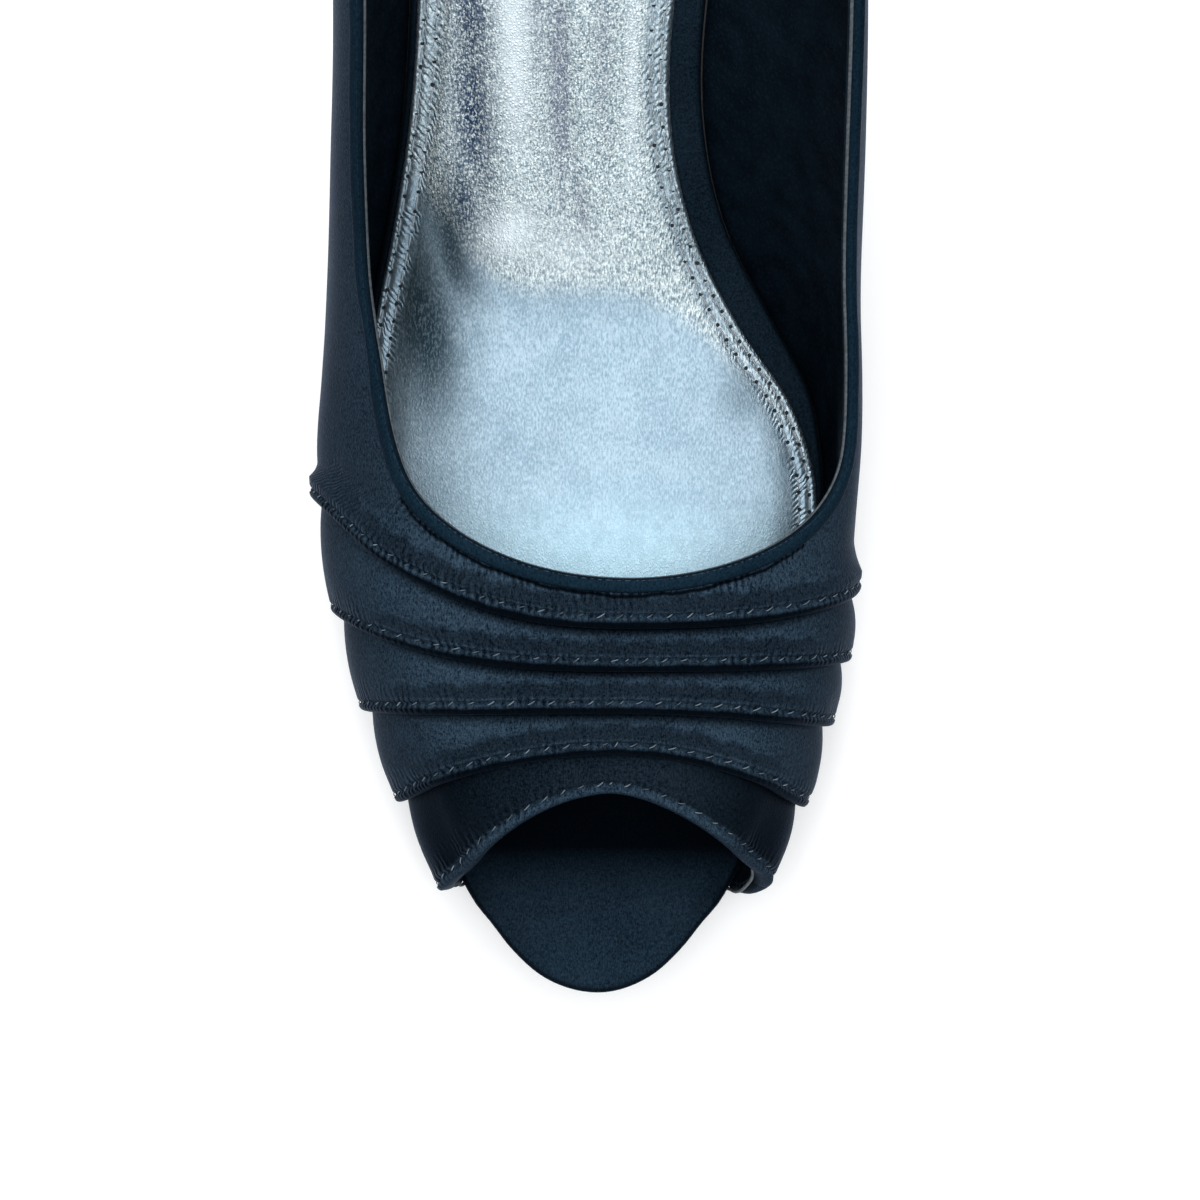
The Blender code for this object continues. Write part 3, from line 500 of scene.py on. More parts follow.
def finish_mesh(name, bm, material, weld, sharp):
    """Closes the seams between grids, shades the mesh smoothly and puts it on the shoe."""
    bmesh.ops.remove_doubles(bm, verts=bm.verts, dist=weld)
    bmesh.ops.recalc_face_normals(bm, faces=bm.faces)
    mesh = bpy.data.meshes.new(name)
    bm.to_mesh(mesh)
    bm.free()
    mesh.shade_smooth()
    mesh.set_sharp_from_angle(angle=math.radians(sharp))
    mesh.materials.append(material)
    piece = bpy.data.objects.new(name, mesh)
    bpy.context.scene.collection.objects.link(piece)
    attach(piece, "root")
    print(f"{name}: {sum(len(p.vertices) - 2 for p in mesh.polygons)} triangles")
    return piece


# %% [markdown]
# ## Finishes
# Each woven or grained surface needs the same three things: a fine height for its bump, a slow change of
# tone, and plain numbers for gloss. The first two are node groups that every material can share. They
# read object coordinates, so one metre is one unit and a scale of 4000 gives a grain of a quarter of a
# millimetre.


# %% Node groups for weave, grain and slow changes
def new_group(name, inputs, outputs):
    """An empty shader node group with number sockets."""
    group = bpy.data.node_groups.new(name, "ShaderNodeTree")
    for socket, default in inputs:
        made = group.interface.new_socket(name=socket, in_out="INPUT", socket_type="NodeSocketFloat")
        made.default_value = default
    for socket in outputs:
        group.interface.new_socket(name=socket, in_out="OUTPUT", socket_type="NodeSocketFloat")
    start = group.nodes.new("NodeGroupInput")
    end = group.nodes.new("NodeGroupOutput")
    return group, start, end


def maths(tree, operation, first, second=None, clamp=False):
    """A Math node fed by sockets or by plain numbers."""
    node = tree.nodes.new("ShaderNodeMath")
    node.operation = operation
    node.use_clamp = clamp
    for socket, value in zip(node.inputs, (first, second)):
        if value is None:
            continue
        if isinstance(value, (int, float)):
            socket.default_value = value
        else:
            tree.links.new(value, socket)
    return node.outputs[0]


def stretched(tree, stretch=(1.0, 1.0, 1.0)):
    """Object coordinates with each axis multiplied."""
    where = tree.nodes.new("ShaderNodeTexCoord")
    mapping = tree.nodes.new("ShaderNodeMapping")
    mapping.inputs["Scale"].default_value = stretch
    tree.links.new(where.outputs["Object"], mapping.inputs["Vector"])
    return mapping.outputs["Vector"]


def noise(tree, vector, scale, detail=2.0, roughness=0.5, distortion=0.0):
    """A noise texture whose scale is a number or a socket."""
    node = tree.nodes.new("ShaderNodeTexNoise")
    tree.links.new(vector, node.inputs["Vector"])
    if isinstance(scale, (int, float)):
        node.inputs["Scale"].default_value = scale
    else:
        tree.links.new(scale, node.inputs["Scale"])
    node.inputs["Detail"].default_value = detail
    node.inputs["Roughness"].default_value = roughness
    node.inputs["Distortion"].default_value = distortion
    return node.outputs["Fac"]


def spread(tree, value, low, high, to_low=0.0, to_high=1.0):
    """Stretches a value from one range to another, clamped."""
    node = tree.nodes.new("ShaderNodeMapRange")
    for socket, number in zip(node.inputs[1:5], (low, high, to_low, to_high)):
        socket.default_value = number
    tree.links.new(value, node.inputs[0])
    return node.outputs[0]


def weighed(tree, first, share, second):
    """Two values added: the first by its share, the second by what is left."""
    rest = maths(tree, "MULTIPLY", second, 1 - share)
    return maths(tree, "ADD", maths(tree, "MULTIPLY", first, share), rest)


def weave_group():
    """Crossing floats of thread, broken up as in duchess satin."""
    group, start, end = new_group("thread weave", [("Threads", 4200.0)], ["Height", "Tone"])
    warp = noise(group, stretched(group, (1.0, 0.42, 1.0)), start.outputs["Threads"], 1.0, 0.6)
    weft = noise(group, stretched(group, (0.42, 1.0, 0.8)), start.outputs["Threads"], 1.0, 0.6)
    crossed = maths(group, "MAXIMUM", warp, weft)
    slub = noise(group, stretched(group, (1.5, 0.6, 1.0)), 3400.0, 2.0, 0.65)
    group.links.new(crossed, end.inputs["Height"])
    group.links.new(weighed(group, crossed, 0.4, slub), end.inputs["Tone"])
    return group


def grain_group():
    """Leather grain: small raised cells with creases between them."""
    inputs = [("Cells", 1500.0), ("Creases", 260.0)]
    group, start, end = new_group("leather grain", inputs, ["Height", "Creases"])
    cells = group.nodes.new("ShaderNodeTexVoronoi")
    cells.feature = "DISTANCE_TO_EDGE"
    group.links.new(stretched(group, (1.0, 0.7, 1.0)), cells.inputs["Vector"])
    group.links.new(start.outputs["Cells"], cells.inputs["Scale"])
    rounded = maths(group, "MULTIPLY", cells.outputs["Distance"], 2.4, clamp=True)
    folds = noise(group, stretched(group, (1.0, 0.45, 1.0)), start.outputs["Creases"], 2.0, 0.5)
    folds = spread(group, folds, 0.35, 0.65)
    group.links.new(weighed(group, rounded, 0.55, folds), end.inputs["Height"])
    group.links.new(folds, end.inputs["Creases"])
    return group


def cloud_group():
    """Slow patches for handling marks and uneven dye."""
    group, start, end = new_group("slow patches", [("Size", 60.0)], ["Patches"])
    patches = noise(group, stretched(group), start.outputs["Size"], 3.0, 0.55)
    group.links.new(patches, end.inputs["Patches"])
    return group


def gather_group():
    """Small folds square to a stitched seam, from the distance along it and how strong they are."""
    inputs = [("Along", 0.0), ("Amount", 0.0), ("Pitch", 1.0)]
    group, start, end = new_group("stitch gathers", inputs, ["Height"])
    uneven = noise(group, stretched(group), 420.0, 2.0)
    turns = maths(group, "DIVIDE", start.outputs["Along"], start.outputs["Pitch"])
    turns = maths(group, "ADD", turns, maths(group, "MULTIPLY", uneven, 1.6))
    folds = maths(group, "SINE", maths(group, "MULTIPLY", turns, 2 * math.pi))
    broken = spread(group, noise(group, stretched(group), 260.0, 1.0), 0.35, 0.6)
    folds = maths(group, "MULTIPLY", maths(group, "MULTIPLY", folds, broken), start.outputs["Amount"])
    folds = maths(group, "MINIMUM", folds, 0.6)
    group.links.new(folds, end.inputs["Height"])
    return group


WEAVE, GRAIN, CLOUD, GATHERS = weave_group(), grain_group(), cloud_group(), gather_group()


# %% Materials share one way of wiring
def new_material(name, roughness, **sockets):
    """A material with plain numbers on its shader's own sockets."""
    made = bpy.data.materials.new(name)
    made.use_nodes = True
    shader = made.node_tree.nodes["Principled BSDF"]
    shader.inputs["Roughness"].default_value = roughness
    for socket, value in sockets.items():
        shader.inputs[socket.replace("_", " ")].default_value = value
    return made, made.node_tree, shader


def use_group(tree, group, **values):
    """Places a group in a material with its own values."""
    node = tree.nodes.new("ShaderNodeGroup")
    node.node_tree = group
    for socket, value in values.items():
        node.inputs[socket].default_value = value
    return node


def blend_colours(tree, factor, dark, light):
    """Two colours mixed by a factor that changes over the surface."""
    mix = tree.nodes.new("ShaderNodeMix")
    mix.data_type = "RGBA"
    tree.links.new(factor, mix.inputs["Factor"])
    for socket, colour in ((mix.inputs[6], dark), (mix.inputs[7], light)):
        if isinstance(colour, tuple):
            socket.default_value = (*colour, 1.0)
        else:
            tree.links.new(colour, socket)
    return mix.outputs[2]


def add_bump(tree, shader, layers):
    """Chains Bump nodes, given as height socket, strength and distance in mm."""
    normal = None
    for height, strength, distance in layers:
        bump = tree.nodes.new("ShaderNodeBump")
        bump.inputs["Strength"].default_value = strength
        bump.inputs["Distance"].default_value = distance * MM
        tree.links.new(height, bump.inputs["Height"])
        if normal is not None:
            tree.links.new(normal, bump.inputs["Normal"])
        normal = bump.outputs["Normal"]
    tree.links.new(normal, shader.inputs["Normal"])


# %% [markdown]
# The dyed satin is matt. Its hollows and creases get painted shade, nearly black, and a painted sheen
# makes it lighter where it faces the eye. The lining is soft black leather. The sock is silver foil on
# leather, smooth under the ball and broken into grains in the arch, where the foot has creased it.

# %% Satin, binding, leather, sock, thread and sole
def attribute(tree, name):
    """A named value of the mesh, nought where the mesh has none."""
    node = tree.nodes.new("ShaderNodeAttribute")
    node.attribute_name = name
    return node.outputs["Fac"]


def gathered(tree, pitch):
    """Height of the gathers beside a seam, from the mesh's own values."""
    gathers = use_group(tree, GATHERS, Pitch=pitch)
    tree.links.new(attribute(tree, "along"), gathers.inputs["Along"])
    tree.links.new(attribute(tree, "gather"), gathers.inputs["Amount"])
    return gathers.outputs["Height"]


def make_satin(name, dark, light, roughness, shade=0.80):
    """Dyed satin: a broken weave, gathers at the stitches, painted shade in creases, a painted sheen that
    darkens it where it turns from the eye, and the shader's own faint sheen.
    """
    made, tree, shader = new_material(
        name, roughness, Metallic=0.10, Sheen_Weight=0.055, Sheen_Roughness=0.35)
    shader.inputs["Specular IOR Level"].default_value = 0.010
    shader.inputs["Specular Tint"].default_value = (0.40, 0.65, 1.0, 1.0)
    shader.inputs["Sheen Tint"].default_value = (0.30, 0.50, 0.85, 1.0)
    weave = use_group(tree, WEAVE, Threads=3600.0)
    cloud = use_group(tree, CLOUD, Size=70.0)
    gathers = gathered(tree, 1.05)
    tone = weighed(tree, weave.outputs["Tone"], 0.85, cloud.outputs["Patches"])
    # Painted light on the gathers: the colour grows lighter on their crests and darker in their troughs.
    tone = maths(tree, "ADD", tone, maths(tree, "MULTIPLY", gathers, 0.16))
    threads_seen = blend_colours(tree, spread(tree, tone, 0.40, 0.64), dark, light)
    # Painted sheen: the colour darkens towards a painted shadow colour where the cloth turns away from the
    # eye, by the share given as shade.
    facing = tree.nodes.new("ShaderNodeLayerWeight")
    facing.inputs["Blend"].default_value = 0.5
    turned = spread(tree, facing.outputs["Facing"], 0.03, 0.70)
    turned = maths(tree, "MULTIPLY", turned, shade)
    # Painted shade: the value stored on the mesh darkens creases, grooves and the cloth under folds towards
    # a painted shadow colour, nearly black.
    hollow = maths(tree, "MULTIPLY", attribute(tree, "painted_shade"), 0.97)
    shadow = tuple(0.15 * value for value in dark)
    tree.links.new(blend_colours(tree, maths(tree, "MAXIMUM", turned, hollow), threads_seen, shadow),
                   shader.inputs["Base Color"])
    gloss = spread(tree, weave.outputs["Tone"], 0.3, 0.7, roughness + 0.08, roughness - 0.08)
    tree.links.new(gloss, shader.inputs["Roughness"])
    add_bump(tree, shader, [(gathers, 0.8, 0.30), (weave.outputs["Height"], 0.7, 0.10)])
    return made


def make_leather(name, dark, light, roughness, cells, creases, depth):
    """Leather: cell grain, longer creases, gloss on the raised cells."""
    made, tree, shader = new_material(name, roughness)
    shader.inputs["Specular IOR Level"].default_value = 0.14
    shader.inputs["Specular Tint"].default_value = (0.45, 0.75, 1.0, 1.0)
    grain = use_group(tree, GRAIN, Cells=cells, Creases=creases)
    cloud = use_group(tree, CLOUD, Size=90.0)
    tone = spread(tree, weighed(tree, grain.outputs["Height"], 0.7, cloud.outputs["Patches"]), 0.2, 0.8)
    tree.links.new(blend_colours(tree, tone, dark, light), shader.inputs["Base Color"])
    gloss = spread(tree, grain.outputs["Height"], 0.0, 1.0, roughness + 0.12, roughness - 0.06)
    tree.links.new(gloss, shader.inputs["Roughness"])
    add_bump(tree, shader, [(grain.outputs["Height"], 0.7, depth)])
    return made


def make_plain(name, dark, light, roughness, grain_scale, depth):
    """Moulded or painted stuff: fine mottling in colour, gloss and height."""
    made, tree, shader = new_material(name, roughness)
    cloud = use_group(tree, CLOUD, Size=grain_scale)
    tone = spread(tree, cloud.outputs["Patches"], 0.35, 0.65)
    tree.links.new(blend_colours(tree, tone, dark, light), shader.inputs["Base Color"])
    gloss = spread(tree, cloud.outputs["Patches"], 0.3, 0.7, roughness - 0.08, roughness + 0.08)
    tree.links.new(gloss, shader.inputs["Roughness"])
    add_bump(tree, shader, [(cloud.outputs["Patches"], 0.5, depth)])
    return made


SATIN = make_satin("navy_satin", (0.0030, 0.0076, 0.0150), (0.0390, 0.0680, 0.1010), 0.45)
HEEL_SATIN = make_satin("heel_satin", (0.0026, 0.0066, 0.0130), (0.0310, 0.0540, 0.0810), 0.45)
WRAP_SATIN = make_satin("insole_satin", (0.0026, 0.0068, 0.0126), (0.0155, 0.0305, 0.0480), 0.50, 0.96)
BINDING_SATIN = make_satin("binding_satin", (0.0026, 0.0090, 0.0165), (0.0090, 0.0235, 0.0390), 0.45)
LINING_LEATHER = make_leather(
    "black_lining", (0.0006, 0.0022, 0.0048), (0.0045, 0.0100, 0.0170), 0.45, 1300.0, 300.0, 0.10)


FOIL_TINTS = (
    # the mesh's value, colour of the painted reflection, how much of it stays on the brightest grains
    ("violet", (0.15, 0.17, 0.25), 0.40),
    ("blue", (0.010, 0.035, 0.10), 0.32),
    ("teal", (0.014, 0.034, 0.050), 0.80),
    ("white", (0.84, 0.94, 1.0), 0.75),
    ("sky", (0.58, 0.86, 1.0), 0.90),
)


def make_foil():
    """Silver foil leather: smooth and pale under the ball, creased in the arch with painted glints, and
    painted reflections where the mesh marks them.
    """
    made, tree, shader = new_material("silver_leather", 0.36, Metallic=0.85)
    grain = use_group(tree, GRAIN, Cells=2300.0, Creases=900.0)
    arch = attribute(tree, "arch")
    sparkle = noise(tree, stretched(tree, (1.0, 0.36, 0.7)), 3600.0, 2.0, 0.6)
    pebble = spread(tree, weighed(tree, sparkle, 0.75, noise(tree, stretched(tree), 120.0, 3.0)), 0.40, 0.60)
    glitter = spread(tree, sparkle, 0.36, 0.66)
    calm = blend_colours(tree, pebble, (0.25, 0.365, 0.455), (0.43, 0.56, 0.66))
    # Painted glints: in the arch the colour breaks into fine near-white and dark blue specks.
    lively = blend_colours(tree, glitter, (0.17, 0.25, 0.31), (0.90, 1.0, 1.0))
    colour = blend_colours(tree, arch, calm, lively)
    # Painted reflections: each tint from the mesh's values, held back on the brightest specks.
    for name, tint, glints in FOIL_TINTS:
        held = spread(tree, sparkle, 0.46, 0.64, 1.0, glints)
        amount = maths(tree, "MULTIPLY", attribute(tree, name), held)
        colour = blend_colours(tree, amount, colour, tint)
    tree.links.new(colour, shader.inputs["Base Color"])
    gloss = spread(tree, grain.outputs["Height"], 0.0, 1.0, 0.46, 0.30)
    tree.links.new(gloss, shader.inputs["Roughness"])
    rough = maths(tree, "MULTIPLY", grain.outputs["Height"], spread(tree, arch, 0.0, 1.0, 0.30, 0.8))
    add_bump(tree, shader, [(gathered(tree, 0.95), 0.6, 0.08), (rough, 0.8, 0.08)])
    return made


SILVER_LEATHER = make_foil()
# Painted shade: a dark colour laid over each needle hole.
NEEDLE_HOLE_SHADE = make_plain("needle_hole_painted_shade", (0.004, 0.006, 0.008), (0.010, 0.013, 0.016), 0.7, 3000.0, 0.02)
THREAD = make_plain("blue_grey_thread", (0.025, 0.045, 0.062), (0.15, 0.20, 0.25), 0.5, 500.0, 0.03)
SILVER_THREAD = make_plain("silver_thread", (0.35, 0.40, 0.45), (0.60, 0.66, 0.72), 0.35, 5000.0, 0.03)
LINING_EDGE = make_plain(
    "grey_lining_edge", (0.030, 0.040, 0.048), (0.085, 0.100, 0.112), 0.60, 1800.0, 0.05)
SOLE_BLACK = make_plain("black_sole", (0.006, 0.006, 0.007), (0.014, 0.014, 0.015), 0.38, 900.0, 0.03)
TIP_RUBBER = make_plain("tip_rubber", (0.006, 0.006, 0.006), (0.012, 0.012, 0.012), 0.55, 2400.0, 0.04)

# %% [markdown]
# ## Cut the satin
# Every vertex of the outer satin is a point of the last moved outwards by the wall and by the height of
# its fold. That height wanders a little, as hand-pressed cloth does, and dips at each stitch.


# %% Raise the folds
def wander(along, seed, wave):
    """A smooth, repeatable wobble between about -1 and 1 along a seam, in metres."""
    phase = 1.7 * seed
    return 0.5 * (np.sin(along / wave + phase) + 0.6 * np.sin(along / wave * 2.3 + 2.1 * phase)
                  + 0.4 * np.sin(along / wave * 5.1 + 3.3 * phase))


def travelled(points):
    """Distance along a row of points."""
    steps = np.linalg.norm(np.diff(points, axis=0), axis=1)
    return np.concatenate([[0.0], np.cumsum(steps)])


def wall_normal(place, line, side):
    """Directions square to the last, but level along the feather line, where the wall meets the sole."""
    square = last_normal(place, line, side)
    square[line > FEATHER_LINE - 1e-6, 2] = 0.0
    return unit(square)


def hump(distance, width, power=2):
    """1 where the distance is nought, fading to 0 over the width."""
    return np.exp(-((distance / width) ** power))


def vamp_surface(side):
    """Points of the satin over the vamp, with how far along, how gathered and how much painted shade each
    has.
    """
    columns, owners = vamp_columns(side)
    rows_line = FEATHER_LINE * FINE_ROWS / ROWS
    seam = last_point(*throat_column(side, FINE_ROWS), side)
    gather_length, gather_strength = (1.3, 1.0) if side == LATERAL else (0.9, 0.7)
    points, along, gather, painted_shade = [], [], [], []
    for (place, line, height, back), owner in zip(columns, owners):
        is_last = owner + 1 == len(TUCKS)
        run = travelled(last_point(tuck_front(TUCKS[owner], rows_line, side), rows_line, side)) * side
        kept = 1 - np.maximum(line - BELLY_LINE, 0.0) * TUCK_LOSS_AT_SOLE
        reach = TUCKS[owner][4] * stitch_spread(line, side)
        needle = hump(((run / (STITCH_PITCH * MM) + 0.5) % 1.0 - 0.5) * STITCH_PITCH, 0.45)

        # Cloth gathered at the stitches, strongest behind them
        near = np.where(back < reach, hump(back - reach, 0.8), np.exp(-((back - reach) / gather_length)))
        tight = np.interp(line, [0.0, 0.35, 0.8, 2.6], [0.30, 0.65, 1.0, 1.0])
        gathers = near * tight * gather_strength * ((back > 0.3) & (back < 5.5))

        # Painted shade under the next fold, in the puckers, on the fold's face and flank, and in the groove
        ragged = 0.5 * wander(run, owner + 11, 0.0009)
        pucker_shade = 0.62 * np.clip((back - 2.3) / 0.4, 0, 1) * np.clip((5.0 + ragged - back) / 0.7, 0, 1)
        face = np.clip((1.50 + 0.25 * ragged - back) / 0.45, 0, 1)
        if owner == 0:
            pucker_shade = np.interp(line, [0.3, 1.0], [0.68, 1.0]) * np.clip((back - 1.9) / 0.5, 0, 1)
            face = np.where(back < 0.9, np.clip((0.5 - height) / 0.7, 0, 1), 0.0)
        flank = np.interp(line, [0.8, 1.9], [0.0, 0.75 if owner == 1 else 0.35])
        groove = (0.20 + 0.45 * needle) * hump(back - reach, 0.38) * (back > 0.5)
        if is_last:
            # Painted shade: a ragged dark line in the seam beside the binding
            at_seam = np.where(FINE_ROWS <= CORNER_ROW, 1.0, 0.0)
            to_edge = np.linalg.norm(seam - last_point(place, line, side), axis=-1) / MM
            hidden = at_seam * hump(to_edge - 2.38 - 0.20 * wander(run, 5, 0.0016), 0.34, 4)
            gathers = np.maximum(gathers, at_seam * np.exp(-np.maximum(to_edge - 2.3, 0.0) / 1.1))
        else:
            crease = columns[owners.index(owner + 1)][0] - FOLD_ROLL[0][0] * MM
            hidden = np.clip((1.6 - (crease - place) / MM) / 1.4, 0, 1)

        # The fold's height, a slow swelling behind it and a dimple at each stitch
        lift = np.where(height > 0, height * kept, height)
        lift = lift + 0.16 * kept * hump(back - 3.2, 1.6) * wander(run, owner + 3, 0.0045)
        lift = lift - 0.16 * kept * hump(back - reach, 0.4) * needle
        shift = np.where((back > 0.2) & (back < 5), 0.10 * MM * wander(run, owner + 7, 0.005), 0.0)
        square = wall_normal(place + shift, line, side)
        points.append(last_point(place + shift, line, side) + square * (WALL + lift * MM)[:, None])
        along.append(run / MM)
        gather.append(gathers)
        painted_shade.append(np.max([hidden, pucker_shade, face, flank, groove], axis=0))
    return np.array(points), {"along": along, "gather": gather, "painted_shade": painted_shade}


def quarter_surface(side):
    """Points of the satin behind the throat."""
    rows = FINE_ROWS[FINE_ROWS >= CORNER_ROW - 1e-9]
    columns = quarter_columns(side, 1.3 * MM, rows)
    return np.array([
        last_point(place, line, side) + wall_normal(place, line, side) * WALL for place, line in columns
    ])


# %% [markdown]
# Vamp and quarters of both sides go into one mesh, and the points that meet are joined.

# %% Sew both halves together
satin = bmesh.new()
for layer in ("along", "gather", "painted_shade"):
    satin.verts.layers.float.new(layer)
for side in (LATERAL, MEDIAL):
    points, layers = vamp_surface(side)
    add_grid(satin, points, layers)
    add_grid(satin, quarter_surface(side))
upper_satin = finish_mesh("upper_satin", satin, SATIN, weld=3e-6, sharp=80)
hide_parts("upper")

# %% [markdown]
# ## Lining
# Black grained leather lines the wall. It is a closed board of its own, so that nothing is hollow behind
# the satin when the shoe is seen from the toe, from above or from below.


# %% Line the wall
def wall_board(side, depth, rows):
    """Points of the wall at a depth from the last, from the lip to the middle of the back."""
    line = FEATHER_LINE * rows / ROWS
    lip = np.stack([tuck_front(TUCKS[0], line, side) + 0.9 * MM, line])
    throat = np.stack(throat_column(side, rows))
    vamp = np.array([
        raised(*(lip * (1 - share) + throat * share), side, depth) for share in np.linspace(0, 1, 34)
    ])
    low_rows = rows[rows >= CORNER_ROW - 1e-9]
    back = quarter_columns(side, 3.0 * MM, low_rows)
    quarter = np.array([raised(place, line, side, depth) for place, line in back])
    corner = len(rows) - len(low_rows)
    for border, inner in ((vamp[-1, : corner + 1], vamp[-2, : corner + 1]), (quarter[:, 0], quarter[:, 1])):
        step = inner - border
        border += step * np.minimum(0.7 * MM / np.linalg.norm(step, axis=-1, keepdims=True), 0.9)
    quarter[0, 0] = vamp[-1, corner]
    return vamp, quarter


lining = bmesh.new()
board_rows = np.linspace(0, ROWS, 49)
for side in (LATERAL, MEDIAL):
    inner_vamp, inner_quarter = wall_board(side, 0.0, board_rows)
    outer_vamp, outer_quarter = wall_board(side, WALL - 0.75 * MM, board_rows)
    grids = [add_grid(lining, points) for points in (inner_vamp, outer_vamp, inner_quarter, outer_quarter)]
    corner = int(np.sum(board_rows < CORNER_ROW - 1e-9)) + 1
    skin(lining, [grids[0][0], grids[1][0]])
    skin(lining, [grids[0][-1][:corner], grids[1][-1][:corner]])
    for low, high, end in ((2, 3, 0), (0, 1, -1), (2, 3, -1)):
        skin(lining, [[column[end] for column in grids[low]], [column[end] for column in grids[high]]])
wall_lining = finish_mesh("wall_lining", lining, LINING_LEATHER, weld=4e-6, sharp=60)
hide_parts("upper")

# %% [markdown]
# ## Binding round the topline
# A strip of the same satin folds over the topline. It is flatter and darker than the pleats, and the seam
# at its foot is drawn in. A strip swept along the edge keeps one width all the way round, which no grid
# of the wall would do at the throat's corners.


# %% Follow the topline
def edge_frame(place, line, side, into):
    """For each point of an edge curve: the way into the wall, as shares of place and line."""
    step = 1e-5
    along_place = (last_point(place + step, line, side) - last_point(place - step, line, side)) / (2 * step)
    low, high = np.minimum(line + step, 3.0), np.maximum(line - step, 0.0)
    along_line = (last_point(place, low, side) - last_point(place, high, side)) / (low - high)[:, None]
    edge = last_point(place, line, side)
    tangent = unit(np.gradient(edge, axis=0))
    ways = []
    for p, q, t, guess in zip(along_place, along_line, tangent, into):
        flat = np.stack([p, q], axis=1)
        square = unit(np.cross(np.cross(p, q), t))
        share, *_ = np.linalg.lstsq(flat, square, rcond=None)
        if np.dot(share, guess) < 0:
            share = -share
        ways.append(share)
    return np.array(ways)


def sweep_edge(bm, side, profile):
    """Sweeps a profile of (mm into the wall, mm out from the last) along the topline."""
    place, line = topline(side, 0.7 * MM, np.linspace(0, 90, 91))
    into = np.stack([np.full_like(place, -1.0) * (line < 0.98), np.full_like(line, 0.03)], axis=1)
    ways = edge_frame(place, line, side, into)
    ways[0] = (-1.0, 0.0)
    ways[-1, 0] = 0.0
    run = travelled(last_point(place, line, side))
    rows, painted_shade = [], []
    for down, out in profile:
        # Painted shade: the binding darkens in the drawn-in seam at its foot.
        painted_shade.append(np.full(len(place), hump(down - 2.34, 0.24)))
        at_place = np.clip(place + ways[:, 0] * down * MM, 0, ROUND_LAST)
        at_line = np.clip(line + ways[:, 1] * down * MM, 0, FEATHER_LINE)
        puckered = 0.05 * wander(run, 2, 0.0022) * (1.3 < down < 2.4)
        rows.append(raised(at_place, at_line, side, (out + puckered) * MM))
    add_grid(bm, np.array(rows), {"painted_shade": painted_shade})


BINDING_PROFILE = (
    # mm into the wall, mm out from the last
    (2.48, 1.70), (2.34, 1.60), (2.20, 1.52), (2.07, 1.70), (1.92, 2.00), (1.70, 2.13), (1.40, 2.17),
    (1.00, 2.16), (0.66, 2.12), (0.36, 2.00), (0.12, 1.76), (0.00, 1.40), (0.00, 1.05),
    (0.10, 0.78), (0.34, 0.64), (0.90, 0.56),
)
EDGE_PROFILE = tuple(
    # the lining's cut edge, a bead that shows inside the binding
    (0.34 + 0.26 * math.cos(math.radians(turned)), 0.50 + 0.26 * math.sin(math.radians(turned)))
    for turned in range(60, 425, 40)
)
LIP_CURLS = (
    # side, lines of the last, mm in front of the lip at each
    (MEDIAL, (1.7, 2.0, 2.4, 2.7, 2.98), (-0.6, 0.0, 0.35, 0.35, 0.1)),
    (LATERAL, (2.3, 2.6, 2.8, 2.98), (-0.1, 0.2, 0.3, 0.1)),
)


def sweep_tube(bm, path, radius):
    """A round bead along a path."""
    rings = []
    for point, along in zip(path, unit(np.gradient(path, axis=0))):
        across = unit(np.cross(along, [0.0, 0.0, 1.0]))
        rise = np.cross(across, along)
        rings.append([point + radius * (math.cos(t) * across + math.sin(t) * rise)
                      for t in np.linspace(0, 2 * math.pi, 9)])
    add_capped(bm, rings)


binding = bmesh.new()
lining_edge = bmesh.new()
for edge_mesh in (binding, lining_edge):
    edge_mesh.verts.layers.float.new("painted_shade")
for side in (LATERAL, MEDIAL):
    sweep_edge(binding, side, BINDING_PROFILE)
    sweep_edge(lining_edge, side, EDGE_PROFILE)
for side, lines, in_front in LIP_CURLS:
    line = np.linspace(lines[0], lines[-1], 40)
    place = tuck_front(TUCKS[0], line, side) - np.interp(line, lines, in_front) * MM
    sweep_tube(lining_edge, raised(place, line, side, 0.15 * MM), 0.27 * MM)
topline_binding = finish_mesh("topline_binding", binding, BINDING_SATIN, weld=4e-6, sharp=70)
cut_edge = finish_mesh("lining_cut_edge", lining_edge, LINING_EDGE, weld=4e-6, sharp=70)
for piece in (topline_binding, cut_edge):
    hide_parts("upper")

# %% [markdown]
# ## Sole, insole and sock
# The sole's layers are strips across the last, one at each station. The insole is board wrapped in satin,
# so its front edge is round. The outsole is thin black leather board that ends at the heel's breast.


# %% Outline of the sole
def outline(place, side, outwards=0.0):
    """Points of the feather line seen from above, moved outwards square to the line."""
    width = FEATHER_WIDTH[side]
    x, y = plan(place, side, width(place))
    x0, y0 = plan(place - SLIGHT, side, width(place - SLIGHT))
    x1, y1 = plan(place + SLIGHT, side, width(place + SLIGHT))
    along = unit(np.stack([x1 - x0, y1 - y0], axis=-1))
    out = side * np.stack([along[..., 1], -along[..., 0]], axis=-1)
    out = np.where((place <= SLIGHT)[..., None], [0.0, -1.0], out)
    out = np.where((place >= ROUND_LAST - SLIGHT)[..., None], [0.0, 1.0], out)
    return x + outwards * out[..., 0], y + outwards * out[..., 1]


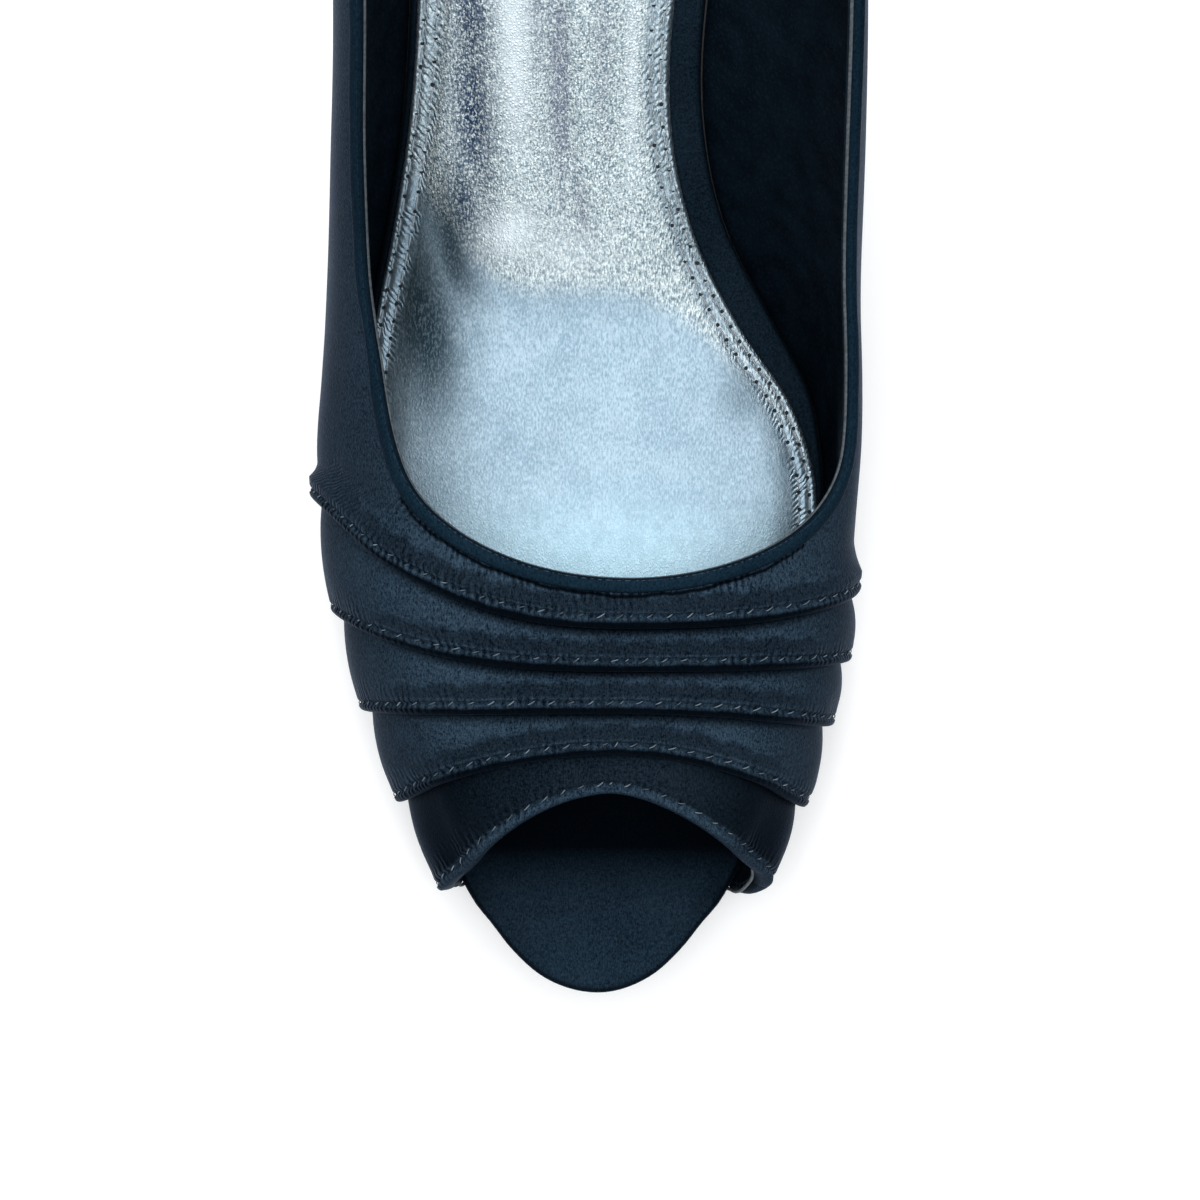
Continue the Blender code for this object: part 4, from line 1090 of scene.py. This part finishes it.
def layer_rows(places, profile):
    """Rows of points round a sole layer: up its lateral edge, over the top and down its medial edge."""
    rows = []
    for side in (LATERAL, MEDIAL):
        half = []
        for outwards, height in profile:
            x, y = outline(places, side, np.asarray(outwards))
            half.append(np.stack([x + CENTRE_X, y + TOE_Y, underside(y) + height], axis=-1))
        rows += half if side == LATERAL else half[::-1]
    middle = len(profile)
    shares = np.linspace(0, 1, 9)[1:-1]
    top = [rows[middle - 1] * (1 - share) + rows[middle] * share for share in shares]
    bottom = [rows[-1] * (1 - share) + rows[0] * share for share in shares]
    return rows[:middle] + top + rows[middle:] + bottom


def layer_mesh(name, places, profile, material, cut_off=False):
    """A closed sole layer, with a flat end where it is cut off at the back."""
    bm = bmesh.new()
    rows = layer_rows(places, profile)
    grid = add_grid(bm, [*rows, rows[0]])
    if cut_off:
        bm.faces.new([row[-1] for row in grid[:-1]])
    return finish_mesh(name, bm, material, weld=2e-6, sharp=50)


def places_between(first, last, spacing):
    """Evenly spaced distances round the last between two stations."""
    start, end = float(station(first)), float(station(last))
    return np.linspace(start, end, max(int((end - start) / spacing), 2))


# %% [markdown]
# Each layer is a small profile, given as distances outwards and heights. The insole gets painted shade
# under the lip, where no light reaches, and along its rim.

# %% Lay the outsole and the insole
outsole_places = places_between(-1, BREAST_STATION - GAP / STRAIGHT, 1.5 * MM)
outsole_out = column(((-1.0, -TONGUE_INSET), (-0.1, -TONGUE_INSET), (0.06, WALL - OUTSOLE_INSET),
                      (0.12, WALL - OUTSOLE_INSET), (2.0, WALL - OUTSOLE_INSET)), 1)(outsole_places)
outsole_profile = (
    (outsole_out - OUTSOLE_INSET, 0.0), (outsole_out - 0.15 * MM, 0.25 * MM), (outsole_out, 0.7 * MM),
    (outsole_out, 2.3 * MM), (outsole_out - 0.12 * MM, 2.65 * MM), (outsole_out - 0.4 * MM, OUTSOLE),
)
outsole_piece = layer_mesh("outsole_board", outsole_places, outsole_profile, SOLE_BLACK, cut_off=True)
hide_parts("outsole")

insole_places = places_between(-1, 2, 1.2 * MM)
inside_wall = np.interp((insole_places - TOE_ARC) / MM, [-2.0, 0.0, 14.0, 19.0], [0.0, GAP, GAP, -GAP])
insole_profile = []
for turned in np.linspace(-90, 90, 9):
    angle = math.radians(turned)
    insole_profile.append((
        inside_wall - INSOLE_ROUND * (1 - math.cos(angle)),
        INSOLE_BOTTOM + INSOLE / 2 + (INSOLE / 2) * math.sin(angle),
    ))
insole_piece = layer_mesh("wrapped_insole", insole_places, insole_profile, WRAP_SATIN)
rim = np.concatenate([np.stack(outline(insole_places, side), -1) for side in (LATERAL, MEDIAL)])
# Painted shade on the insole: dark under the lip and in a thin line along its rim.
unlit = insole_piece.data.attributes.new("painted_shade", "FLOAT", "POINT")
for vertex, value in zip(insole_piece.data.vertices, unlit.data):
    x, y = vertex.co.x - CENTRE_X, vertex.co.y - TOE_Y
    shade = min(max((y / MM - 13.5) / 9.0, 0.0), 1.0) ** 1.3 * (y < 60 * MM)
    if y < 26 * MM:
        rim_gap = np.linalg.norm(rim - [x, y], axis=1).min() / MM
        shade = max(shade, 0.95 * float(hump(rim_gap, 0.95, 4)))
    value.value = shade
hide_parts("insole")

# %% [markdown]
# The sock is thin foam under silver foil leather. Two rows of stitches press its edge down, and the foot
# has left soft hollows and long waves in the arch. It is one grid, raised by its distance from the edge.

# %% Pad the sock
SOCK_EDGE = (
    (0.160, 0.020, 0.020), (0.280, 0.020, 0.020), (0.360, 0.020, 0.022), (0.440, 0.020, 0.052),
    (0.511, 0.020, 0.072), (0.582, 0.020, 0.068), (0.660, 0.020, 0.066), (0.747, 0.020, 0.058),
    (0.870, 0.020, 0.034), (1.000, 0.020, 0.020), (2.000, 0.020, 0.020),
)
SOCK_ROWS = {LATERAL: (1.1, 3.0), MEDIAL: (1.3, 2.9)}
SOCK_BAND = {LATERAL: 4.1, MEDIAL: 4.0}
SOCK_PITCH = 2.7
sock_inset = {LATERAL: column(SOCK_EDGE, 1), MEDIAL: column(SOCK_EDGE, 2)}
sock_places = places_between(SOCK_EDGE[0][0], 2, 0.5 * MM)


def sock_line(side, inwards=0.0):
    """A line that runs inwards of the sock's edge, seen from above."""
    inset = sock_inset[side](sock_places) * BALL_WIDTH
    return np.stack(outline(sock_places, side, -inset - inwards), axis=-1)


def nearest(points, path):
    """Distance to a path and distance along it, in mm, for a grid of points."""
    run = travelled(path) / MM
    away, along = np.empty(points.shape[:2]), np.empty(points.shape[:2])
    for number, row in enumerate(points):
        gaps = np.linalg.norm(row[:, None] - path[None], axis=-1)
        best = gaps.argmin(axis=1)
        away[number], along[number] = gaps[np.arange(len(row)), best] / MM, run[best]
    return away, along


def blot(x_mm, y_mm, middle, radius, tilt=0.0, power=2.0):
    """A soft oval patch: 1 in its middle, fading to 0. The tilt is in degrees from lengthwise."""
    turn = math.radians(tilt)
    across = (x_mm - middle[0]) * math.cos(turn) + (y_mm - middle[1]) * math.sin(turn)
    length = -(x_mm - middle[0]) * math.sin(turn) + (y_mm - middle[1]) * math.cos(turn)
    return np.exp(-((np.hypot(across / radius[0], length / radius[1])) ** power))


shares = 0.5 - 0.5 * np.cos(np.linspace(0, np.pi, 97))[None, :, None]
flat = sock_line(LATERAL)[:, None] * (1 - shares) + sock_line(MEDIAL)[:, None] * shares
x_flat, y_flat = flat[..., 0], flat[..., 1]
height = np.full(x_flat.shape, SOCK / MM)
edge_run, band = np.zeros(x_flat.shape), np.zeros(x_flat.shape)
edge_mm = np.full(x_flat.shape, 99.0)
for side in (LATERAL, MEDIAL):
    away, along = nearest(flat, sock_line(side))
    closer = away < edge_mm
    edge_mm = np.minimum(edge_mm, away)
    edge_run = np.where(closer, along, edge_run)
    band = np.where(closer, np.clip((SOCK_BAND[side] - away) / 0.5, 0, 1), band)
    for row_at in SOCK_ROWS[side]:
        height = height - 0.22 * hump(away - row_at, 0.40)
    height = height + 0.275 * np.clip((away - SOCK_BAND[side]) / 3.0, 0, 1) ** 0.6
rounded = np.sqrt(np.clip(1 - (1 - np.clip(edge_mm / 0.9, 0, 1)) ** 2, 0, 1))
height = np.maximum(height * rounded, 0.02)
x_mm, y_mm = x_flat / MM, y_flat / MM

# The line where the arch begins, and long waves that the foot has pressed in behind it
arch_start = 110.0 - 0.025 * np.maximum(x_mm, 0) ** 2 + 0.05 * np.minimum(x_mm + 10, 0) ** 2
arch = np.clip((y_mm - arch_start) / 5.0 + 0.5, 0, 1)
arch = arch * arch * (3 - 2 * arch)
for middle, lean, depth, width in ((-19.0, 2.0, 0.35, 2.6), (-5.4, 3.0, 0.25, 2.0), (3.5, -2.0, 0.2, 2.0)):
    height = height - depth * arch * blot(x_mm, y_mm, (middle, 135.0), (width, 30.0), lean, 2.0) * rounded
sock_points = np.stack([
    x_flat + CENTRE_X, y_flat + TOE_Y, underside(y_flat) + SOCK_BOTTOM + height * MM,
], axis=-1)
print("sock is up to", round(float(height.max()), 2), "mm thick")

# %% [markdown]
# Foil leather mirrors whatever stands round it, so its hollows look dark blue, teal, violet grey, white
# or pale as the sky. These are painted reflections: soft ovals in the shoe's own millimetres, kept as named
# values of the mesh, which the material turns into colour. Painting them once looks the same from every
# side.

# %% Mark the painted reflections on the sock
PAINTED_REFLECTIONS = {
    # across and along in mm, half width, half length, tilt in degrees, how sharply it ends, strength
    "blue": ((-18.6, 133.0, 3.2, 11.0, 0, 2.0, 1.0), (-18.0, 144.0, 2.9, 9.0, 0, 2.0, 0.9),
             (-20.3, 121.0, 2.4, 8.0, 8, 2.0, 0.95), (-17.5, 165.0, 2.0, 16.0, 0, 2.0, 0.55)),
    "teal": ((-27.0, 104.0, 5.6, 15.0, 6, 2.6, 1.0), (-22.6, 116.0, 3.3, 10.0, 10, 2.0, 1.0),
             (22.0, 93.0, 3.2, 5.0, -20, 2.0, 0.35)),
    "violet": ((-5.6, 137.0, 1.7, 15.0, 0, 2.0, 0.8), (-2.4, 121.0, 1.3, 5.5, 12, 2.0, 0.6),
               (-8.5, 146.0, 1.2, 8.0, 0, 2.0, 0.5), (0.6, 140.0, 1.2, 12.0, 0, 2.0, 0.4)),
    "white": ((-12.0, 141.0, 2.2, 12.0, 0, 2.0, 0.9), (-13.6, 118.0, 4.6, 3.4, 30, 2.0, 0.9),
              (-6.0, 115.5, 9.0, 4.0, -8, 2.0, 0.35), (5.0, 138.0, 1.0, 14.0, 0, 2.0, 0.5),
              (-12.6, 165.0, 2.0, 18.0, 0, 2.0, 0.45)),
    "sky": ((0.0, 58.0, 40.0, 17.0, 0, 3.0, 0.8),),
}
layers = {"along": edge_run + 0.8 * edge_mm, "gather": band, "arch": arch * (1 - 0.5 * band)}
for name, ovals in PAINTED_REFLECTIONS.items():
    layers[name] = np.max([
        strength * blot(x_mm, y_mm, (across, along), (wide, long), tilt, power)
        for across, along, wide, long, tilt, power, strength in ovals
    ], axis=0)
# A dark teal line inside the lateral edge band: painted shade in the valley there.
valley = hump(edge_mm - 4.1, 0.8) * (x_mm < 0) * np.clip((y_mm - 104) / 8, 0, 1)
layers["teal"] = np.maximum(layers["teal"], 0.55 * valley)
for name in ("blue", "teal", "violet", "white"):
    layers[name] = layers[name] * np.clip((edge_mm - 3.2) / 1.2, 0, 1)
print("hollows marked:", ", ".join(PAINTED_REFLECTIONS))

# %% [markdown]
# One grid makes the sock's top, a coarser one its flat underside, and its front end is closed.

# %% Skin the sock
sock = bmesh.new()
for layer in layers:
    sock.verts.layers.float.new(layer)
top = add_grid(sock, sock_points, layers)
floor_points = sock_points.copy()
floor_points[..., 2] = underside(y_flat) + SOCK_BOTTOM
add_grid(sock, floor_points[::4, ::12])
skin(sock, [[sock.verts.new(p) for p in floor_points[0]], top[0]])
sock_piece = finish_mesh("padded_sock", sock, SILVER_LEATHER, weld=2e-6, sharp=60)
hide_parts("sock_lining")

# %% [markdown]
# ## Heel
# The heel block is covered in the same satin. It tapers fast below the seat, and its breast is hollowed.


# %% Cover the heel
def tip_outline(place, side, inset=0.0):
    """Points of the heel's foot below the points of its top outline."""
    half = TIP_WIDTH / 2 - inset
    back = LAST_LENGTH - TIP_SETBACK - inset
    front = LAST_LENGTH - TIP_SETBACK - TIP_LENGTH + inset
    seat, breast = float(station(1)), float(station(BREAST_STATION))
    turn = np.maximum((place - seat) / SEAT_RADIUS, 0.0)
    share = np.clip((place - breast) / (seat - breast), 0.0, 1.0)
    y = np.where(place > seat, back - half + half * np.sin(turn), front + (back - half - front) * share)
    return side * half * np.cos(turn), y


def both_sides(one_side):
    """A curve made for each side, as one row of points from the lateral breast to the medial one."""
    lateral, medial = (np.stack(one_side(side), -1) for side in (LATERAL, MEDIAL))
    return np.concatenate([lateral, medial[-2::-1]])


def heel_rings(drops, places, across):
    """Rings of the heel from the seat down to its foot."""
    tops = both_sides(lambda side: outline(places, side, WALL - OUTSOLE_INSET))
    feet = both_sides(lambda side: tip_outline(places, side))
    shares = np.linspace(0, 1, across)[1:-1, None]
    tops_all = np.concatenate([tops, tops[-1] * (1 - shares) + tops[0] * shares])
    feet_all = np.concatenate([feet, feet[-1] * (1 - shares) + feet[0] * shares])
    hollow = np.concatenate([np.zeros(len(tops)), np.sin(np.pi * shares[:, 0])])
    rings = []
    for drop in drops:
        depth = BREAST_HOLLOW * math.sin(math.pi * min(drop / BREAST_HOLLOW_END, 1.0))
        plan_points = feet_all + (tops_all - feet_all) * (1 - drop) ** HEEL_TAPER
        seat_height = underside(tops_all[:, 1]) + OUTSOLE
        z = seat_height + (TIP_THICKNESS + GAP - seat_height) * drop
        ring = np.stack([plan_points[:, 0] + CENTRE_X, plan_points[:, 1] + depth * hollow + TOE_Y, z], -1)
        rings.append(np.concatenate([ring, ring[:1]]))
    return rings


heel_places = places_between(BREAST_STATION, 2, 1.0 * MM)
heel = bmesh.new()
add_capped(heel, heel_rings(np.linspace(0, 1, 70), heel_places, 15))
heel_piece = finish_mesh("covered_heel", heel, HEEL_SATIN, weld=2e-6, sharp=40)
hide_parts("heel")

# %% [markdown]
# The heel's wearing piece is dark rubber, rounded at both edges, with the outline of the heel's foot.

# %% Lay the top piece under it
tip = bmesh.new()
tip_rings = []
for height_mm, inset in ((0.0, 0.35), (0.12, 0.12), (0.35, 0.0), (4.1, 0.0), (4.35, 0.06), (4.5, 0.2)):
    ring = both_sides(lambda side: tip_outline(heel_places, side, inset * MM))
    ring = np.concatenate([ring, ring[:1]])
    z = np.full(len(ring), height_mm * MM)
    tip_rings.append(np.stack([ring[:, 0] + CENTRE_X, ring[:, 1] + TOE_Y, z], -1))
add_capped(tip, tip_rings)
tip_piece = finish_mesh("heel_tip", tip, TIP_RUBBER, weld=2e-6, sharp=40)
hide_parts("top_piece")

# %% [markdown]
# ## Stitches
# Each stitch on a tuck is a short slanting thread that dives into the cloth at both ends. They are small
# capsules, bent a little, joined into one mesh, and laid on the groove behind the fold.


# %% Lay stitches along the folds
def add_stitch(bm, start, end, up, radius, sink):
    """One stitch: a thread bent over the cloth, with six sides and rounded ends."""
    steps = np.linspace(0, 1, 7)
    along = end - start
    length = np.linalg.norm(along)
    along = along / length
    across = unit(np.cross(up, along))
    rise = np.cross(along, across)
    rings = []
    for share in steps:
        arch = math.sin(math.pi * share)
        middle = start + along * length * share + rise * (radius * 0.9 * arch - sink * (1 - arch))
        thick = radius * (0.55 + 0.45 * arch**0.5) if 0 < share < 1 else radius * 0.25
        ring = []
        for turned in np.linspace(0, 2 * math.pi, 7)[:-1]:
            spoke = math.cos(turned) * across + math.sin(turned) * rise
            ring.append(bm.verts.new(middle + thick * spoke))
        rings.append(ring)
    for first, second in zip(rings, rings[1:]):
        for k in range(6):
            bm.faces.new((first[k - 1], first[k], second[k], second[k - 1]))
    bm.faces.new(rings[0])
    bm.faces.new(rings[-1])


def fold_stitches(bm, number, side):
    """Stitches of one tuck, from the ridge down one side."""
    tuck = TUCKS[number]
    line = np.linspace(0, FEATHER_LINE * 0.97, 600)
    run = travelled(last_point(tuck_front(tuck, line, side), line, side))
    count = int(run[-1] / (STITCH_PITCH * MM))
    first = 0.5 if side == LATERAL else 0.0
    for k in range(count):
        at = (k + first) * STITCH_PITCH * MM
        here = float(np.interp(at, run, line))
        reach = tuck[4] * float(stitch_spread(here, side))
        kept = 1 - max(here - BELLY_LINE, 0.0) * TUCK_LOSS_AT_SOLE
        ends = []
        slant, half = uneven.uniform(0.16, 0.38), uneven.uniform(0.38, 0.62)
        for forward, sideways in ((-slant, -half), (slant, half)):
            moved = float(np.interp(at + side * sideways * MM, run, line))
            place = float(tuck_front(tuck, moved, side)) + (reach + forward) * MM
            lift = WALL + (fold_height(reach + forward, reach) * kept - 0.02) * MM
            ends.append(raised(place, moved, side, lift))
        up = last_normal(float(tuck_front(tuck, here, side)), here, side)
        add_stitch(bm, ends[0], ends[1], up, uneven.uniform(0.07, 0.10) * MM, 0.08 * MM)


uneven = np.random.default_rng(4)
threads = bmesh.new()
for number in range(len(TUCKS)):
    for side in (LATERAL, MEDIAL):
        fold_stitches(threads, number, side)
fold_thread = finish_mesh("fold_stitches", threads, THREAD, weld=1e-7, sharp=80)
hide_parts("upper")


# %% [markdown]
# The sock's two rows are silver thread, nearly as pale as the foil. What shows most is the small needle
# hole between two stitches, drawn as a dark dish of painted shade.

# %% Sew the sock's edge
def sock_top(x, y):
    """The nearest point of the sock's top, seen from above."""
    near = np.argmin((x_flat - x) ** 2 + (y_flat - y) ** 2)
    return np.array([x + CENTRE_X, y + TOE_Y, sock_points[..., 2].flat[near]])


def add_hole(bm, middle, radius):
    """A small needle hole: a shallow dark dish just above the foil, painted shade where the hole is."""
    ring = [
        bm.verts.new(middle + radius * np.array([math.cos(t), math.sin(t), 0.0]) + [0, 0, 0.13 * MM])
        for t in np.linspace(0, 2 * math.pi, 9)[:-1]
    ]
    low = bm.verts.new(middle + [0, 0, 0.09 * MM])
    for k in range(8):
        bm.faces.new((ring[k - 1], ring[k], low))


sock_threads, holes = bmesh.new(), bmesh.new()
up = np.array([0.0, 0.0, 1.0])
lift = up * 0.04 * MM
for side in (LATERAL, MEDIAL):
    for row_at in SOCK_ROWS[side]:
        path = sock_line(side, row_at * MM)
        run = travelled(path)
        for at in np.arange(2.0 * MM, run[-1] - 0.5 * MM, SOCK_PITCH * MM):
            start, end = ([float(np.interp(at + shift, run, path[:, k])) for k in (0, 1)]
                          for shift in (0.35 * MM, (SOCK_PITCH - 0.35) * MM))
            ends = sock_top(*start) + lift, sock_top(*end) + lift
            add_stitch(sock_threads, *ends, up, 0.15 * MM, 0.14 * MM)
            hole = [float(np.interp(at, run, path[:, k])) for k in (0, 1)]
            add_hole(holes, sock_top(*hole), 0.32 * MM)
sock_thread = finish_mesh("sock_stitches", sock_threads, SILVER_THREAD, weld=1e-7, sharp=80)
needle_holes = finish_mesh("sock_needle_holes", holes, NEEDLE_HOLE_SHADE, weld=1e-7, sharp=80)
for piece in (sock_thread, needle_holes):
    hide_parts("sock_lining")

# %% [markdown]
# ## Studio
# A white table that glows faintly, as in a cut-out picture, one large soft light overhead, a smaller one
# behind the heel and a weak one before the toe, and a pale room light. The camera looks straight down.

# %% Floor, lights and camera
FLOOR_HALF = 1.5
floor_mesh = bpy.data.meshes.new("studio_floor")
corners = [(-FLOOR_HALF, -FLOOR_HALF, 0), (FLOOR_HALF, -FLOOR_HALF, 0), (FLOOR_HALF, FLOOR_HALF, 0),
           (-FLOOR_HALF, FLOOR_HALF, 0)]
floor_mesh.from_pydata(corners, [], [(0, 1, 2, 3)])
floor_finish, tree, shader = new_material("studio_floor", 0.8)
shader.inputs["Base Color"].default_value = (0.93, 0.93, 0.93, 1.0)
shader.inputs["Emission Color"].default_value = (1.0, 1.0, 1.0, 1.0)
shader.inputs["Emission Strength"].default_value = 0.15
floor_mesh.materials.append(floor_finish)
studio_floor = bpy.data.objects.new("studio_floor", floor_mesh)
bpy.context.scene.collection.objects.link(studio_floor)


def area_light(name, place, aim, size, power):
    """A square soft light turned towards a point."""
    data = bpy.data.lights.new(name, "AREA")
    data.size = size
    data.energy = power
    lamp = bpy.data.objects.new(name, data)
    lamp.location = place
    lamp.rotation_euler = (Vector(aim) - Vector(place)).to_track_quat("-Z", "Y").to_euler()
    bpy.context.scene.collection.objects.link(lamp)


area_light("overhead_panel", (0.0, 0.0, 1.5), (0.0, 0.0, 0.0), 1.6, 8.0)
area_light("heel_side_light", (-0.1, 0.95, 0.95), (0.0, -0.03, 0.0), 0.5, 8.0)
area_light("toe_side_light", (0.0, -1.1, 0.75), (0.0, 0.03, 0.03), 0.7, 2.4)

world = bpy.data.worlds.new("studio_room")
world.use_nodes = True
room = world.node_tree.nodes["Background"]
room.inputs["Color"].default_value = (0.95, 0.98, 1.0, 1.0)
room.inputs["Strength"].default_value = 0.78
bpy.context.scene.world = world
bpy.context.scene.view_settings.view_transform = "Standard"

camera_data = bpy.data.cameras.new("photo_camera")
camera_data.sensor_width = 36.0
camera_data.lens = 55.56
camera_data.clip_start = 0.01
camera = bpy.data.objects.new("photo_camera", camera_data)
camera.location = (0.00227, -0.0528, 0.300)
camera.rotation_euler = (0.0, 0.0, 0.0)
bpy.context.scene.collection.objects.link(camera)
bpy.context.scene.camera = camera
